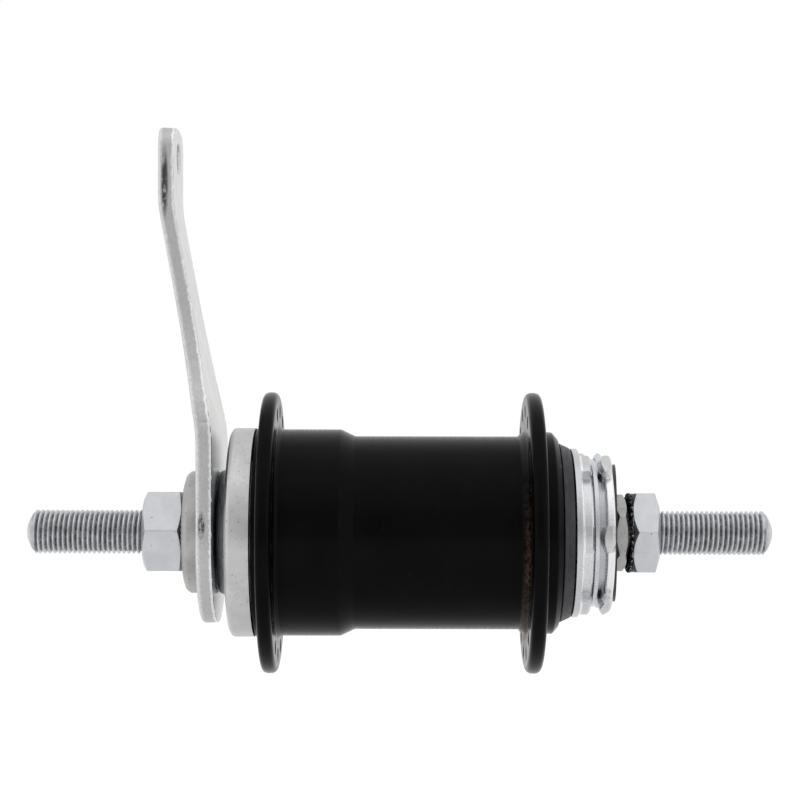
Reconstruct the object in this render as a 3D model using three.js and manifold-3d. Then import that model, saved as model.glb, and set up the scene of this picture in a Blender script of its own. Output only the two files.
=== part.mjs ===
// Rear bicycle hub with a coaster brake: hub shell, brake arm, driver, clutch cone, shoes and bearings on one axle.
// Millimetres. The axle lies along X with the driver at +X, the brake arm points up (+Z), and the origin is on the
// axle's axis midway between the faces that the frame's dropouts rest on.
import * as THREE from "three";
import { mergeVertices } from "three/addons/utils/BufferGeometryUtils.js";
import Module from "manifold-3d";

const wasm = await Module();
wasm.setup();

// ---------------------------------------------------------------- driving dimensions
const GAP = 0.3; // clearance between neighbouring pieces
const AXLE_R = 4.7;
const AXLE_FROM = -81.2;
const AXLE_TO = 78.8;
const THREAD_BORE = AXLE_R + GAP;

const NUT_FLATS = 16.8;
const LEFT_NUT_FROM = -55.8;
const LEFT_NUT_TO = -47.4;
const RIGHT_NUT_FROM = 47.45;
const RIGHT_NUT_HEX = 48.3;
const RIGHT_NUT_TO = 54.2;
const NUT_BOSS_R = 8.6;
const LEFT_NUT_TURN = 5; // degrees from a corner pointing along -Y
const RIGHT_NUT_TURN = 4;

const LEFT_LOCKNUT_FROM = -47.1;
const LEFT_LOCKNUT_SEAT = -46.6;
const LEFT_LOCKNUT_TO = -43.5;
const LEFT_LOCKNUT_R = 13.05;
const RIGHT_LOCKNUT_FROM = 44.85;
const RIGHT_LOCKNUT_TO = 47.1;
const RIGHT_LOCKNUT_FLATS = 14.4;
const RIGHT_LOCKNUT_TURN = 29;

const ARM_LEFT = -43.2;
const ARM_THICK = 3.35;
const ARM_OFFSET = 9.05; // how far the upper end is joggled outwards
const ARM_BEND_LOW = 21.4;
const ARM_BEND_HIGH = 69.5;
const ARM_TOP = 86.55;
const ARM_HEAD_R = 19.4;
const ARM_HALF_WIDTH = 9.5;
const ARM_END_ROUND = 4.5;
const ARM_HOLE_R = 3.25;
const ARM_HOLE_Z = 80.2;
const KEY_R = 7.6; // keyed boss of the brake cone that the arm sits on
const KEY_HALF_FLAT = 5.9;

const CAP_FROM = -37.2;
const CAP_TO = -32.0;
const CAP_R = 22.35;

const FLANGE_R = 30.05;
const FLANGE_ROUND = 1.4; // radius of the flanges' rolled edges
const LEFT_FLANGE_FROM = -30.36;
const LEFT_FLANGE_TO = -27.13;
const RIGHT_FLANGE_FROM = 25.5;
const RIGHT_FLANGE_TO = 28.66;
const SHELL_LEFT = -31.7;
const SHELL_RIGHT = 32.5;
const BARREL_LEFT_R = 22.1;
const BARREL_RIGHT_R = 20.65;
const SHELL_BORE = 18.8;
const LEFT_SEAT_R = 20.6; // counterbores for the pressed-in ball cups
const LEFT_SEAT_END = -23.8;
const RIGHT_SEAT_R = 19.45;
const RIGHT_SEAT_END = 23.7;
const SPOKE_HOLES = 18; // in each flange
const SPOKE_CIRCLE_R = 26;
const SPOKE_HOLE_R = 1.3;
const LEFT_SPOKE_START = 6; // degrees from straight up
const RIGHT_SPOKE_START = 16;

const LEFT_BEARING = { x: -28.6, pitch: 15.9, ball: 3.175, count: 9, side: -1 };
const RIGHT_BEARING = { x: 28.5, pitch: 14.9, ball: 3.175, count: 10, side: 1 };
const CONE_BEARING = { x: 39.5, pitch: 9.5, ball: 2.38, count: 7, side: 1 };

const LINER_FROM = -23.5;
const LINER_TO = -2;
const LINER_R = 17.1;
const SLEEVE_R = 18.5; // outside of the liner and of the drive ring
const SHOE_FROM = -23.3;
const SHOE_TO = -3;
const SHOE_R = 16.2;
const SHOE_BORE = 10.9;
const SHOE_HALF_SPLIT = 2.9;
const SHOE_TRAVEL = 0.6;
const SHOE_TAPER_LEFT = -18.5; // inner ends of the tapers in the shoes' bore
const SHOE_TAPER_RIGHT = -8.5;
const TAPER = 0.3; // radius gained per millimetre on the expander cones
const TANG_FROM = -23.8;
const TANG_TO = -17;
const TANG_BORE = 8.6;
const TANG_HALF_WIDTH = 2.5;
const TANG_R = 15.4;

const CLUTCH_NOSE = -6.3;
const CLUTCH_BODY_FROM = -0.6;
const CLUTCH_BODY_R = 14;
const DRIVE_FROM = 1;
const DRIVE_TO = 10.5;
const DRIVE_R = 17;
const DRIVE_TAPER = 0.147;
const CLUTCH_BORE = 8.6;
const DRIVE_RING_FROM = 0.5;
const DRIVE_RING_TO = 12.5;

const SCREW_FROM = 2;
const SCREW_TO = 13.6;
const SCREW_R = 8.2;
const DRIVER_BORE = 5.3;
const DRIVER_SHANK_R = 11.2;
const DRIVER_NECK_R = 13;
const DRIVER_COLLAR_FROM = 35.4;
const DRIVER_COLLAR_TO = 36.75;
const DRIVER_COLLAR_R = 18.1;
const DRIVER_STEP_TO = 37.15; // a low step between the collar and the floor
const DRIVER_STEP_R = 16.3;
const DRIVER_FLOOR_R = 15.8;
const DRIVER_GROOVE_FROM = 39.2;
const DRIVER_GROOVE_TO = 41.85;
const DRIVER_GROOVE_R = 14.3;
const DRIVER_TO = 43.65;
const DRIVER_RECESS_X = 42.9; // floor of the recess that the end cap lies in
const DRIVER_RECESS_R = 15.1;
const LUG_COUNT = 6;
const LUG_R = 18.05;
const LUG_ANGLE = 19.2;
const LUG_TURN = -0.6; // degrees of the first lug from -Y, upwards
const LUG_OUTER_FROM = 40.65;

const SIDES = 24; // facets round the inner turned pieces
const OUTER_SIDES = 32; // facets round the larger pieces on view
const SHELL_SIDES = 36; // two facets to each spoke hole

// ---------------------------------------------------------------- materials
const steel = (color, roughness) => new THREE.MeshStandardMaterial({ color, roughness, metalness: 1 });
const zinc = steel(0xc8cbcf, 0.35);
const castZinc = steel(0xb2b2b4, 0.55);
const bluedSteel = steel(0x2c3338, 0.35);
const darkCap = steel(0x46444a, 0.6);
const hardSteel = steel(0x8d8f92, 0.3);
const ballSteel = steel(0xdadada, 0.12);
const bronze = steel(0xa57a45, 0.45);
const blackLacquer = new THREE.MeshStandardMaterial({ color: 0x0b0b0c, roughness: 0.2, metalness: 0 });

// ---------------------------------------------------------------- building blocks
const degrees = (a) => (a * Math.PI) / 180;

// The geometry as a closed solid whose faces point outwards.
function solidOf(geometry) {
  const bare = geometry.clone();
  bare.deleteAttribute("normal");
  bare.deleteAttribute("uv");
  const merged = mergeVertices(bare, 1e-4);
  const vertProperties = new Float32Array(merged.attributes.position.array);
  const triVerts = new Uint32Array(merged.index.array);
  const make = () => new wasm.Manifold(new wasm.Mesh({ numProp: 3, vertProperties, triVerts }));
  const made = make();
  if (made.volume() > 0) return made;
  for (let i = 0; i < triVerts.length; i += 3) {
    [triVerts[i + 1], triVerts[i + 2]] = [triVerts[i + 2], triVerts[i + 1]];
  }
  return make();
}

const join = (...solids) => solids.reduce((a, b) => a.add(b));
const cut = (body, ...tools) => tools.reduce((a, b) => a.subtract(b), body);

// A body turned about the X axis from [x, radius] points; a ring's profile is closed by repeating its first point.
function turned(points, sides = SIDES) {
  const closed = points[0][1] > 0 ? [...points, points[0]] : points;
  const lathe = new THREE.LatheGeometry(
    closed.map(([x, r]) => new THREE.Vector2(r, x)),
    sides,
  );
  return solidOf(lathe.rotateZ(-Math.PI / 2));
}

// A plain ring from x0 to x1 between two radii.
const ring = (x0, x1, inner, outer, sides) =>
  turned([[x0, inner], [x0, outer], [x1, outer], [x1, inner]], sides);

// A flat shape in [y, z] points, pushed along X.
function plateAlongX(points, x0, x1) {
  const shape = new THREE.Shape(points.map(([y, z]) => new THREE.Vector2(y, z)));
  const flat = new THREE.ExtrudeGeometry(shape, { depth: x1 - x0, bevelEnabled: false });
  const turn = new THREE.Matrix4().makeBasis(
    new THREE.Vector3(0, 1, 0),
    new THREE.Vector3(0, 0, 1),
    new THREE.Vector3(1, 0, 0),
  );
  return solidOf(flat.applyMatrix4(turn).translate(x0, 0, 0));
}

// A flat shape in [x, z] points, pushed along Y on both sides of the XZ plane.
function plateAlongY(points, halfWidth) {
  const shape = new THREE.Shape(points.map(([x, z]) => new THREE.Vector2(x, z)));
  const flat = new THREE.ExtrudeGeometry(shape, { depth: 2 * halfWidth, bevelEnabled: false });
  return solidOf(flat.rotateX(Math.PI / 2).translate(0, halfWidth, 0));
}

function block(x0, x1, y0, y1, z0, z1) {
  const box = new THREE.BoxGeometry(x1 - x0, y1 - y0, z1 - z0);
  return solidOf(box.translate((x0 + x1) / 2, (y0 + y1) / 2, (z0 + z1) / 2));
}

// A cylinder parallel to X.
function rodAlongX(x0, x1, radius, y, z, sides) {
  const rod = new THREE.CylinderGeometry(radius, radius, x1 - x0, sides);
  return solidOf(rod.rotateZ(Math.PI / 2).translate((x0 + x1) / 2, y, z));
}

// Points [y, z] on a circle, with angles measured from -Y upwards.
const onCircle = (radius, angle) => [-radius * Math.cos(degrees(angle)), radius * Math.sin(degrees(angle))];

// An arc of [x, radius] points round a ball's centre, from one angle to another, with 0 along +X and 90 outwards.
function arc(x, r, radius, from, to, steps) {
  const points = [];
  for (let i = 0; i <= steps; i++) {
    const a = degrees(from + ((to - from) * i) / steps);
    points.push([x + radius * Math.cos(a), r + radius * Math.sin(a)]);
  }
  return points;
}

const hub = new THREE.Group();
hub.name = "coaster_brake_hub";

function group(name, parent = hub) {
  const made = new THREE.Group();
  made.name = name;
  parent.add(made);
  return made;
}

function place(parent, name, solid, material) {
  const mesh = solid.getMesh();
  const geometry = new THREE.BufferGeometry();
  geometry.setAttribute("position", new THREE.BufferAttribute(new Float32Array(mesh.vertProperties), 3));
  geometry.setIndex(new THREE.BufferAttribute(new Uint32Array(mesh.triVerts), 1));
  geometry.computeVertexNormals();
  const piece = new THREE.Mesh(geometry, material);
  piece.name = name;
  parent.add(piece);
}

const fixed = group("axle_assembly");
const wheel = group("shell_assembly");
const drive = group("driver_assembly");
const brake = group("brake_and_clutch");
const bearings = group("bearings");

// ---------------------------------------------------------------- axle, nuts and locknuts
const DOME = [[0.15, 1.8], [0.9, 3], [1.8, 4.2], [2.7, AXLE_R]];
const axleProfile = [
  [AXLE_FROM, 0],
  ...DOME.map(([x, r]) => [AXLE_FROM + x, r]),
  ...DOME.toReversed().map(([x, r]) => [AXLE_TO - x, r]),
  [AXLE_TO, 0],
];
place(fixed, "axle", turned(axleProfile), zinc);

// A hexagon across flats, turned by an angle from having a corner at -Y, with both ends chamfered at the corners.
function hexPiece(x0, x1, flats, turn, start, end) {
  const cornerR = flats / Math.sqrt(3);
  const corners = [0, 60, 120, 180, 240, 300].map((a) => onCircle(cornerR, a + turn));
  const outside = turned([
    [x0, THREAD_BORE],
    [x0, cornerR - start.rise],
    [x0 + start.depth, cornerR + 0.05],
    [x1 - end.depth, cornerR + 0.05],
    [x1, cornerR - end.rise],
    [x1, THREAD_BORE],
  ]);
  return plateAlongX(corners, x0, x1).intersect(outside);
}

const NUT_OUTER_CHAMFER = { depth: 1.1, rise: 3.2 };
const LEFT_NUT_INNER_CHAMFER = { depth: 0.6, rise: 1.4 };
const RIGHT_NUT_INNER_CHAMFER = { depth: 1, rise: 1.3 };
place(
  fixed,
  "left_axle_nut",
  hexPiece(LEFT_NUT_FROM, LEFT_NUT_TO, NUT_FLATS, LEFT_NUT_TURN, NUT_OUTER_CHAMFER, LEFT_NUT_INNER_CHAMFER),
  zinc,
);
place(
  fixed,
  "right_axle_nut",
  join(
    hexPiece(RIGHT_NUT_HEX, RIGHT_NUT_TO, NUT_FLATS, RIGHT_NUT_TURN, RIGHT_NUT_INNER_CHAMFER, NUT_OUTER_CHAMFER),
    ring(RIGHT_NUT_FROM, RIGHT_NUT_HEX + 0.2, THREAD_BORE, NUT_BOSS_R),
  ),
  zinc,
);

// The left locknut is a round collar whose rim stands proud of the nut's seat, so that it bites into the dropout.
const LOCKNUT_RIM_INNER = 10.1;
const LOCKNUT_RIM_OUTER = 11;
place(
  fixed,
  "left_locknut",
  turned(
    [
      [LEFT_LOCKNUT_SEAT, THREAD_BORE],
      [LEFT_LOCKNUT_SEAT, LOCKNUT_RIM_INNER],
      [LEFT_LOCKNUT_FROM, LOCKNUT_RIM_INNER + 0.1],
      [LEFT_LOCKNUT_FROM, LOCKNUT_RIM_OUTER],
      [LEFT_LOCKNUT_FROM + 0.5, LEFT_LOCKNUT_R - 0.6],
      [LEFT_LOCKNUT_FROM + 1.4, LEFT_LOCKNUT_R],
      [LEFT_LOCKNUT_TO, LEFT_LOCKNUT_R],
      [LEFT_LOCKNUT_TO, THREAD_BORE],
    ],
    OUTER_SIDES,
  ),
  castZinc,
);

const LOCKNUT_CHAMFER = { depth: 0.4, rise: 0.9 };
place(
  fixed,
  "right_locknut",
  hexPiece(
    RIGHT_LOCKNUT_FROM,
    RIGHT_LOCKNUT_TO,
    RIGHT_LOCKNUT_FLATS,
    RIGHT_LOCKNUT_TURN,
    LOCKNUT_CHAMFER,
    LOCKNUT_CHAMFER,
  ),
  zinc,
);

// ---------------------------------------------------------------- brake arm
// A pressed plate: straight at the head, joggled outwards, straight again at the strap end.
const ARM_RIGHT = ARM_LEFT + ARM_THICK;
const armSide = [
  [ARM_LEFT, -ARM_HEAD_R - 1],
  [ARM_LEFT, ARM_BEND_LOW - 2],
  [ARM_LEFT - 0.12, ARM_BEND_LOW + 1],
  [ARM_LEFT - ARM_OFFSET + 0.12, ARM_BEND_HIGH - 1],
  [ARM_LEFT - ARM_OFFSET, ARM_BEND_HIGH + 2],
  [ARM_LEFT - ARM_OFFSET, ARM_TOP + 1],
  [ARM_RIGHT - ARM_OFFSET, ARM_TOP + 1],
  [ARM_RIGHT - ARM_OFFSET, ARM_BEND_HIGH + 1.4],
  [ARM_RIGHT - ARM_OFFSET + 0.12, ARM_BEND_HIGH - 1.6],
  [ARM_RIGHT - 0.12, ARM_BEND_LOW + 0.4],
  [ARM_RIGHT, ARM_BEND_LOW - 2.6],
  [ARM_RIGHT, -ARM_HEAD_R - 1],
];

// Half widths of the arm at heights above the axle, from the head to the strap end.
const ARM_FLANK = [
  [19.3, 12],
  [19.2, 20],
  [18.5, 24],
  [16.8, 28.5],
  [14.2, 33],
  [11.9, 39],
  [10.2, 46],
  [ARM_HALF_WIDTH, 54],
  [ARM_HALF_WIDTH - 0.2, ARM_TOP - ARM_END_ROUND],
];
function armOutline() {
  const right = [];
  for (let a = -90; a <= 0; a += 9) {
    right.push([ARM_HEAD_R * Math.cos(degrees(a)), ARM_HEAD_R * Math.sin(degrees(a))]);
  }
  right.push(...ARM_FLANK);
  for (let a = 18; a <= 90; a += 18) {
    right.push([
      ARM_HALF_WIDTH - 0.2 - ARM_END_ROUND + ARM_END_ROUND * Math.cos(degrees(a)),
      ARM_TOP - 0.3 - ARM_END_ROUND + ARM_END_ROUND * Math.sin(degrees(a)),
    ]);
  }
  const left = right.slice(1).map(([y, z]) => [-y, z]);
  return [...right, [0, ARM_TOP], ...left.toReversed()];
}

// A circle with two flats facing -Y and +Y: the keyed seat between the arm and the brake cone.
function keyed(x0, x1, grow) {
  const flat = KEY_HALF_FLAT + grow;
  return rodAlongX(x0, x1, KEY_R + grow, 0, 0, SIDES).intersect(block(x0, x1, -flat, flat, -20, 20));
}

const armBlank = plateAlongY(armSide, ARM_HEAD_R + 1).intersect(
  plateAlongX(armOutline(), ARM_LEFT - ARM_OFFSET - 1, ARM_RIGHT + 1),
);
const strapHole = rodAlongX(ARM_LEFT - ARM_OFFSET - 1, ARM_RIGHT, ARM_HOLE_R, 0, ARM_HOLE_Z, 20);
place(fixed, "brake_arm", cut(armBlank, keyed(ARM_LEFT - 1, ARM_RIGHT + 1, GAP), strapHole), zinc);

// ---------------------------------------------------------------- brake cone and left dust cap
const CONE_FACE = ARM_RIGHT + GAP;
const CONE_SHOULDER_R = 13.9;
const CONE_NECK_R = 12.4;
const leftTrack = LEFT_BEARING.ball + GAP;
const shoulderAngle = -180 + (Math.asin((LEFT_BEARING.pitch - CONE_SHOULDER_R) / leftTrack) * 180) / Math.PI;
const EXPANDER_FROM = -23.6;
const EXPANDER_TIP = -20.5;
const CONE_NECK_X = -24.2;
const fixedTaper = (x) => SHOE_BORE - 0.4 + (SHOE_TAPER_LEFT - x) * TAPER;
const coneBody = turned([
  [CONE_FACE, THREAD_BORE],
  [CONE_FACE, CONE_SHOULDER_R - 0.85],
  [CAP_FROM - GAP, CONE_SHOULDER_R + 0.05],
  [CAP_FROM - GAP + 0.1, CONE_SHOULDER_R],
  ...arc(LEFT_BEARING.x, LEFT_BEARING.pitch, leftTrack, shoulderAngle, -90, 4),
  [CONE_NECK_X, CONE_NECK_R],
  [EXPANDER_FROM, fixedTaper(EXPANDER_FROM)],
  [EXPANDER_TIP, fixedTaper(EXPANDER_TIP)],
  [EXPANDER_TIP, TANG_BORE],
  [CONE_NECK_X, TANG_BORE - 0.4],
  [CONE_NECK_X, THREAD_BORE],
]);
const tangs = cut(
  block(TANG_FROM, TANG_TO, -TANG_R, TANG_R, -TANG_HALF_WIDTH, TANG_HALF_WIDTH).intersect(
    rodAlongX(TANG_FROM - 1, TANG_TO + 1, TANG_R, 0, 0, SIDES),
  ),
  rodAlongX(TANG_FROM - 1, TANG_TO + 1, TANG_BORE, 0, 0, SIDES),
);
place(
  fixed,
  "brake_cone",
  join(
    coneBody,
    cut(keyed(ARM_LEFT + GAP, CONE_FACE + 0.2, 0), rodAlongX(ARM_LEFT - 1, CONE_FACE + 1, THREAD_BORE, 0, 0, SIDES)),
    tangs,
  ),
  bluedSteel,
);

place(
  fixed,
  "left_dust_cap",
  turned(
    [
      [CAP_FROM, CONE_SHOULDER_R + GAP],
      [CAP_FROM, CAP_R - 0.75],
      [CAP_FROM + 0.2, CAP_R - 0.25],
      [CAP_FROM + 0.7, CAP_R],
      [CAP_TO, CAP_R],
      [CAP_TO, CAP_R - 1.4],
      [CAP_FROM + 1.4, CAP_R - 1.7],
      [CAP_FROM + 1.4, CONE_SHOULDER_R + 1.5],
      [CAP_TO - 0.2, CONE_SHOULDER_R + 1.3],
      [CAP_TO - 0.2, CONE_SHOULDER_R + GAP],
    ],
    OUTER_SIDES,
  ),
  castZinc,
);

// ---------------------------------------------------------------- hub shell, its cups and its lining
const BARREL_STEP_FROM = -13.8;
const BARREL_STEP_TO = -10.7;
const LEFT_LIP_R = 22.4;
const RIGHT_LIP_R = 21.6;
const rimCentreR = FLANGE_R - FLANGE_ROUND;
const shellProfile = [
  [SHELL_LEFT, LEFT_SEAT_R],
  [SHELL_LEFT, LEFT_LIP_R - 0.4],
  [SHELL_LEFT + 0.3, LEFT_LIP_R],
  [LEFT_FLANGE_FROM, LEFT_LIP_R],
  ...arc(LEFT_FLANGE_FROM + FLANGE_ROUND, rimCentreR, FLANGE_ROUND, 180, 90, 3),
  ...arc(LEFT_FLANGE_TO - FLANGE_ROUND, rimCentreR, FLANGE_ROUND, 90, 0, 3),
  [LEFT_FLANGE_TO, BARREL_LEFT_R + 0.9],
  [LEFT_FLANGE_TO + 0.25, BARREL_LEFT_R + 0.3],
  [LEFT_FLANGE_TO + 0.9, BARREL_LEFT_R],
  [BARREL_STEP_FROM, BARREL_LEFT_R],
  [BARREL_STEP_TO, BARREL_RIGHT_R],
  [RIGHT_FLANGE_FROM - 1.3, BARREL_RIGHT_R],
  [RIGHT_FLANGE_FROM - 0.4, BARREL_RIGHT_R + 0.35],
  [RIGHT_FLANGE_FROM, BARREL_RIGHT_R + 1.25],
  ...arc(RIGHT_FLANGE_FROM + FLANGE_ROUND, rimCentreR, FLANGE_ROUND, 180, 90, 3),
  ...arc(RIGHT_FLANGE_TO - FLANGE_ROUND, rimCentreR, FLANGE_ROUND, 90, 0, 3),
  [RIGHT_FLANGE_TO, RIGHT_LIP_R],
  [SHELL_RIGHT - 1, RIGHT_LIP_R],
  [SHELL_RIGHT - 0.3, RIGHT_LIP_R - 0.7],
  [SHELL_RIGHT, RIGHT_LIP_R - 1.4],
  [SHELL_RIGHT, RIGHT_SEAT_R],
  [RIGHT_SEAT_END, RIGHT_SEAT_R],
  [RIGHT_SEAT_END, SHELL_BORE],
  [LEFT_SEAT_END, SHELL_BORE],
  [LEFT_SEAT_END, LEFT_SEAT_R],
];
function spokeHoles(x0, x1, start) {
  const holes = [];
  for (let i = 0; i < SPOKE_HOLES; i++) {
    const [y, z] = onCircle(SPOKE_CIRCLE_R, 90 + start + (i * 360) / SPOKE_HOLES);
    holes.push(rodAlongX(x0 - 0.5, x1 + 0.5, SPOKE_HOLE_R, y, z, 8));
  }
  return holes;
}
place(
  wheel,
  "hub_shell",
  cut(
    turned(shellProfile, SHELL_SIDES),
    ...spokeHoles(LEFT_FLANGE_FROM, LEFT_FLANGE_TO, LEFT_SPOKE_START),
    ...spokeHoles(RIGHT_FLANGE_FROM, RIGHT_FLANGE_TO, RIGHT_SPOKE_START),
  ),
  blackLacquer,
);

// A pressed steel cup: the outer and inboard half of a ball track, with its wall running out past the balls.
function cup(bearing, outerR, mouth) {
  const track = bearing.ball + GAP;
  const { x, pitch, side } = bearing;
  const inboard = side > 0 ? 180 : 0;
  const back = x - side * (track + 1);
  return turned([
    [mouth, outerR],
    [mouth, pitch + track],
    ...arc(x, pitch, track, 90, inboard, 4),
    [x - side * track, pitch - 1.2],
    [back, pitch - 1.2],
    [back, outerR],
  ]);
}
place(wheel, "left_ball_cup", cup(LEFT_BEARING, LEFT_SEAT_R - GAP, SHELL_LEFT + 0.2), hardSteel);
place(wheel, "right_ball_cup", cup(RIGHT_BEARING, RIGHT_SEAT_R - GAP, SHELL_RIGHT - 0.3), hardSteel);
place(wheel, "brake_liner", ring(LINER_FROM, LINER_TO, LINER_R, SLEEVE_R), hardSteel);

const clutchR = (x) => DRIVE_R - (x - DRIVE_FROM) * DRIVE_TAPER;
place(
  wheel,
  "drive_ring",
  turned([
    [DRIVE_RING_FROM, clutchR(DRIVE_RING_FROM) + 0.35],
    [DRIVE_RING_FROM, SLEEVE_R],
    [DRIVE_RING_TO, SLEEVE_R],
    [DRIVE_RING_TO, clutchR(DRIVE_RING_TO) + 0.35],
  ]),
  hardSteel,
);

// ---------------------------------------------------------------- driver and what it carries
const rightTrack = RIGHT_BEARING.ball + GAP;
const coneTrack = CONE_BEARING.ball + GAP;
const neckAngle = (-Math.asin((RIGHT_BEARING.pitch - DRIVER_NECK_R) / rightTrack) * 180) / Math.PI;
const driverBody = turned(
  [
    [SCREW_FROM, DRIVER_BORE],
    [SCREW_FROM, SCREW_R - 0.6],
    [SCREW_FROM + 0.6, SCREW_R],
    [SCREW_TO, SCREW_R],
    [SCREW_TO, DRIVER_SHANK_R - 0.4],
    [RIGHT_BEARING.x - 4, DRIVER_SHANK_R],
    ...arc(RIGHT_BEARING.x, RIGHT_BEARING.pitch, rightTrack, -90, neckAngle, 4),
    [DRIVER_COLLAR_FROM, DRIVER_NECK_R],
    [DRIVER_COLLAR_FROM, DRIVER_COLLAR_R - 0.2],
    [DRIVER_COLLAR_FROM + 0.2, DRIVER_COLLAR_R],
    [DRIVER_COLLAR_TO - 0.1, DRIVER_COLLAR_R],
    [DRIVER_COLLAR_TO, DRIVER_COLLAR_R - 0.15],
    [DRIVER_COLLAR_TO, DRIVER_STEP_R],
    [DRIVER_STEP_TO, DRIVER_STEP_R - 0.1],
    [DRIVER_STEP_TO + 0.1, DRIVER_FLOOR_R],
    [DRIVER_GROOVE_FROM, DRIVER_FLOOR_R - 0.3],
    [DRIVER_GROOVE_FROM, DRIVER_GROOVE_R],
    [DRIVER_GROOVE_TO, DRIVER_GROOVE_R],
    [DRIVER_GROOVE_TO, DRIVER_FLOOR_R],
    [DRIVER_TO - 0.2, DRIVER_FLOOR_R],
    [DRIVER_TO, DRIVER_FLOOR_R - 0.3],
    [DRIVER_TO, DRIVER_RECESS_R],
    [DRIVER_RECESS_X, DRIVER_RECESS_R],
    [DRIVER_RECESS_X, CONE_BEARING.pitch + coneTrack],
    ...arc(CONE_BEARING.x, CONE_BEARING.pitch, coneTrack, 90, 180, 3),
    [CONE_BEARING.x - coneTrack, DRIVER_BORE],
  ],
  OUTER_SIDES,
);

// One wedge of the ring of lugs, between two angles either side of its middle.
function wedge(x0, x1, middle, radius) {
  const half = LUG_ANGLE / 2;
  const inner = DRIVER_GROOVE_R - 0.4;
  const points = [onCircle(inner, middle - half)];
  for (let i = 0; i <= 2; i++) points.push(onCircle(radius, middle - half + (LUG_ANGLE * i) / 2));
  points.push(onCircle(inner, middle + half));
  return plateAlongX(points, x0, x1);
}
const lugLimits = join(
  turned([
    [DRIVER_COLLAR_TO - 0.2, 0],
    [DRIVER_COLLAR_TO - 0.2, LUG_R],
    [DRIVER_GROOVE_FROM - 0.7, LUG_R],
    [DRIVER_GROOVE_FROM - 0.1, LUG_R - 0.7],
    [DRIVER_GROOVE_FROM - 0.1, 0],
  ]),
  turned([
    [LUG_OUTER_FROM, 0],
    [LUG_OUTER_FROM, DRIVER_FLOOR_R + 0.9],
    [LUG_OUTER_FROM + 0.5, LUG_R],
    [DRIVER_TO - 0.7, LUG_R],
    [DRIVER_TO - 0.2, LUG_R - 0.6],
    [DRIVER_TO, LUG_R - 1.6],
    [DRIVER_TO, 0],
  ]),
);
const lugs = [];
for (let i = 0; i < LUG_COUNT; i++) {
  const middle = LUG_TURN + (i * 360) / LUG_COUNT;
  lugs.push(wedge(DRIVER_COLLAR_TO - 0.1, DRIVER_TO, middle, LUG_R + 0.2).intersect(lugLimits));
}
const endRecess = rodAlongX(DRIVER_RECESS_X, DRIVER_TO + 1, DRIVER_RECESS_R, 0, 0, OUTER_SIDES);
place(drive, "driver", join(driverBody, ...lugs.map((lug) => cut(lug, endRecess))), zinc);

const RIGHT_CAP_FROM = SHELL_RIGHT + 0.4;
const RIGHT_CAP_R = 19.2;
place(
  drive,
  "right_dust_cap",
  turned(
    [
      [RIGHT_CAP_FROM, RIGHT_CAP_R - 1],
      [RIGHT_CAP_FROM, RIGHT_CAP_R],
      [DRIVER_COLLAR_FROM - GAP, RIGHT_CAP_R - 1],
      [DRIVER_COLLAR_FROM - GAP, DRIVER_NECK_R + GAP],
      [RIGHT_CAP_FROM, DRIVER_NECK_R + GAP],
      [RIGHT_CAP_FROM, DRIVER_NECK_R + 1.6],
      [RIGHT_CAP_FROM + 1.2, DRIVER_NECK_R + 1.8],
      [RIGHT_CAP_FROM + 1.2, RIGHT_CAP_R - 1.4],
    ],
    OUTER_SIDES,
  ),
  darkCap,
);

const SNAP_GAP_ANGLE = 150; // middle of the snap ring's opening, from -Y upwards
const SNAP_GAP_HALF = 2;
const [snapY, snapZ] = onCircle(15, SNAP_GAP_ANGLE);
place(
  drive,
  "sprocket_snap_ring",
  cut(
    ring(DRIVER_GROOVE_FROM + GAP, LUG_OUTER_FROM - GAP, DRIVER_GROOVE_R + GAP, DRIVER_FLOOR_R),
    block(
      DRIVER_GROOVE_FROM,
      DRIVER_GROOVE_TO,
      snapY - SNAP_GAP_HALF,
      snapY + SNAP_GAP_HALF,
      snapZ - SNAP_GAP_HALF,
      snapZ + SNAP_GAP_HALF,
    ),
  ),
  zinc,
);

// The end cap is a thin pressed disc that lies a little askew in the driver's recess, in at -Y and out at +Y.
const END_CAP_X = 44.8; // middle of its outer half, at the axle's axis
const END_CAP_R = 14.7;
const END_CAP_BORE = 10.1;
const END_CAP_TILT = 3.8; // degrees
const endCap = turned(
  [
    [-0.9, END_CAP_BORE + 1],
    [-0.9, END_CAP_BORE + 1.6],
    [-0.25, END_CAP_BORE + 1.6],
    [-0.25, END_CAP_R],
    [0.25, END_CAP_R],
    [0.25, END_CAP_BORE],
    [-0.25, END_CAP_BORE],
    [-0.25, END_CAP_BORE + 1],
  ],
);
place(drive, "driver_end_cap", endCap.rotate(0, 0, -END_CAP_TILT).translate(END_CAP_X, 0, 0), darkCap);

const ADJUSTING_CONE_FROM = 37.2;
place(
  fixed,
  "adjusting_cone",
  turned([
    [ADJUSTING_CONE_FROM, THREAD_BORE],
    [ADJUSTING_CONE_FROM, 6.4],
    [ADJUSTING_CONE_FROM + 0.4, 6.8],
    ...arc(CONE_BEARING.x, CONE_BEARING.pitch, coneTrack, -90, 0, 4),
    [RIGHT_LOCKNUT_FROM - GAP - 0.2, 9.2],
    [RIGHT_LOCKNUT_FROM - GAP, 8.8],
    [RIGHT_LOCKNUT_FROM - GAP, THREAD_BORE],
  ]),
  bluedSteel,
);

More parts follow.
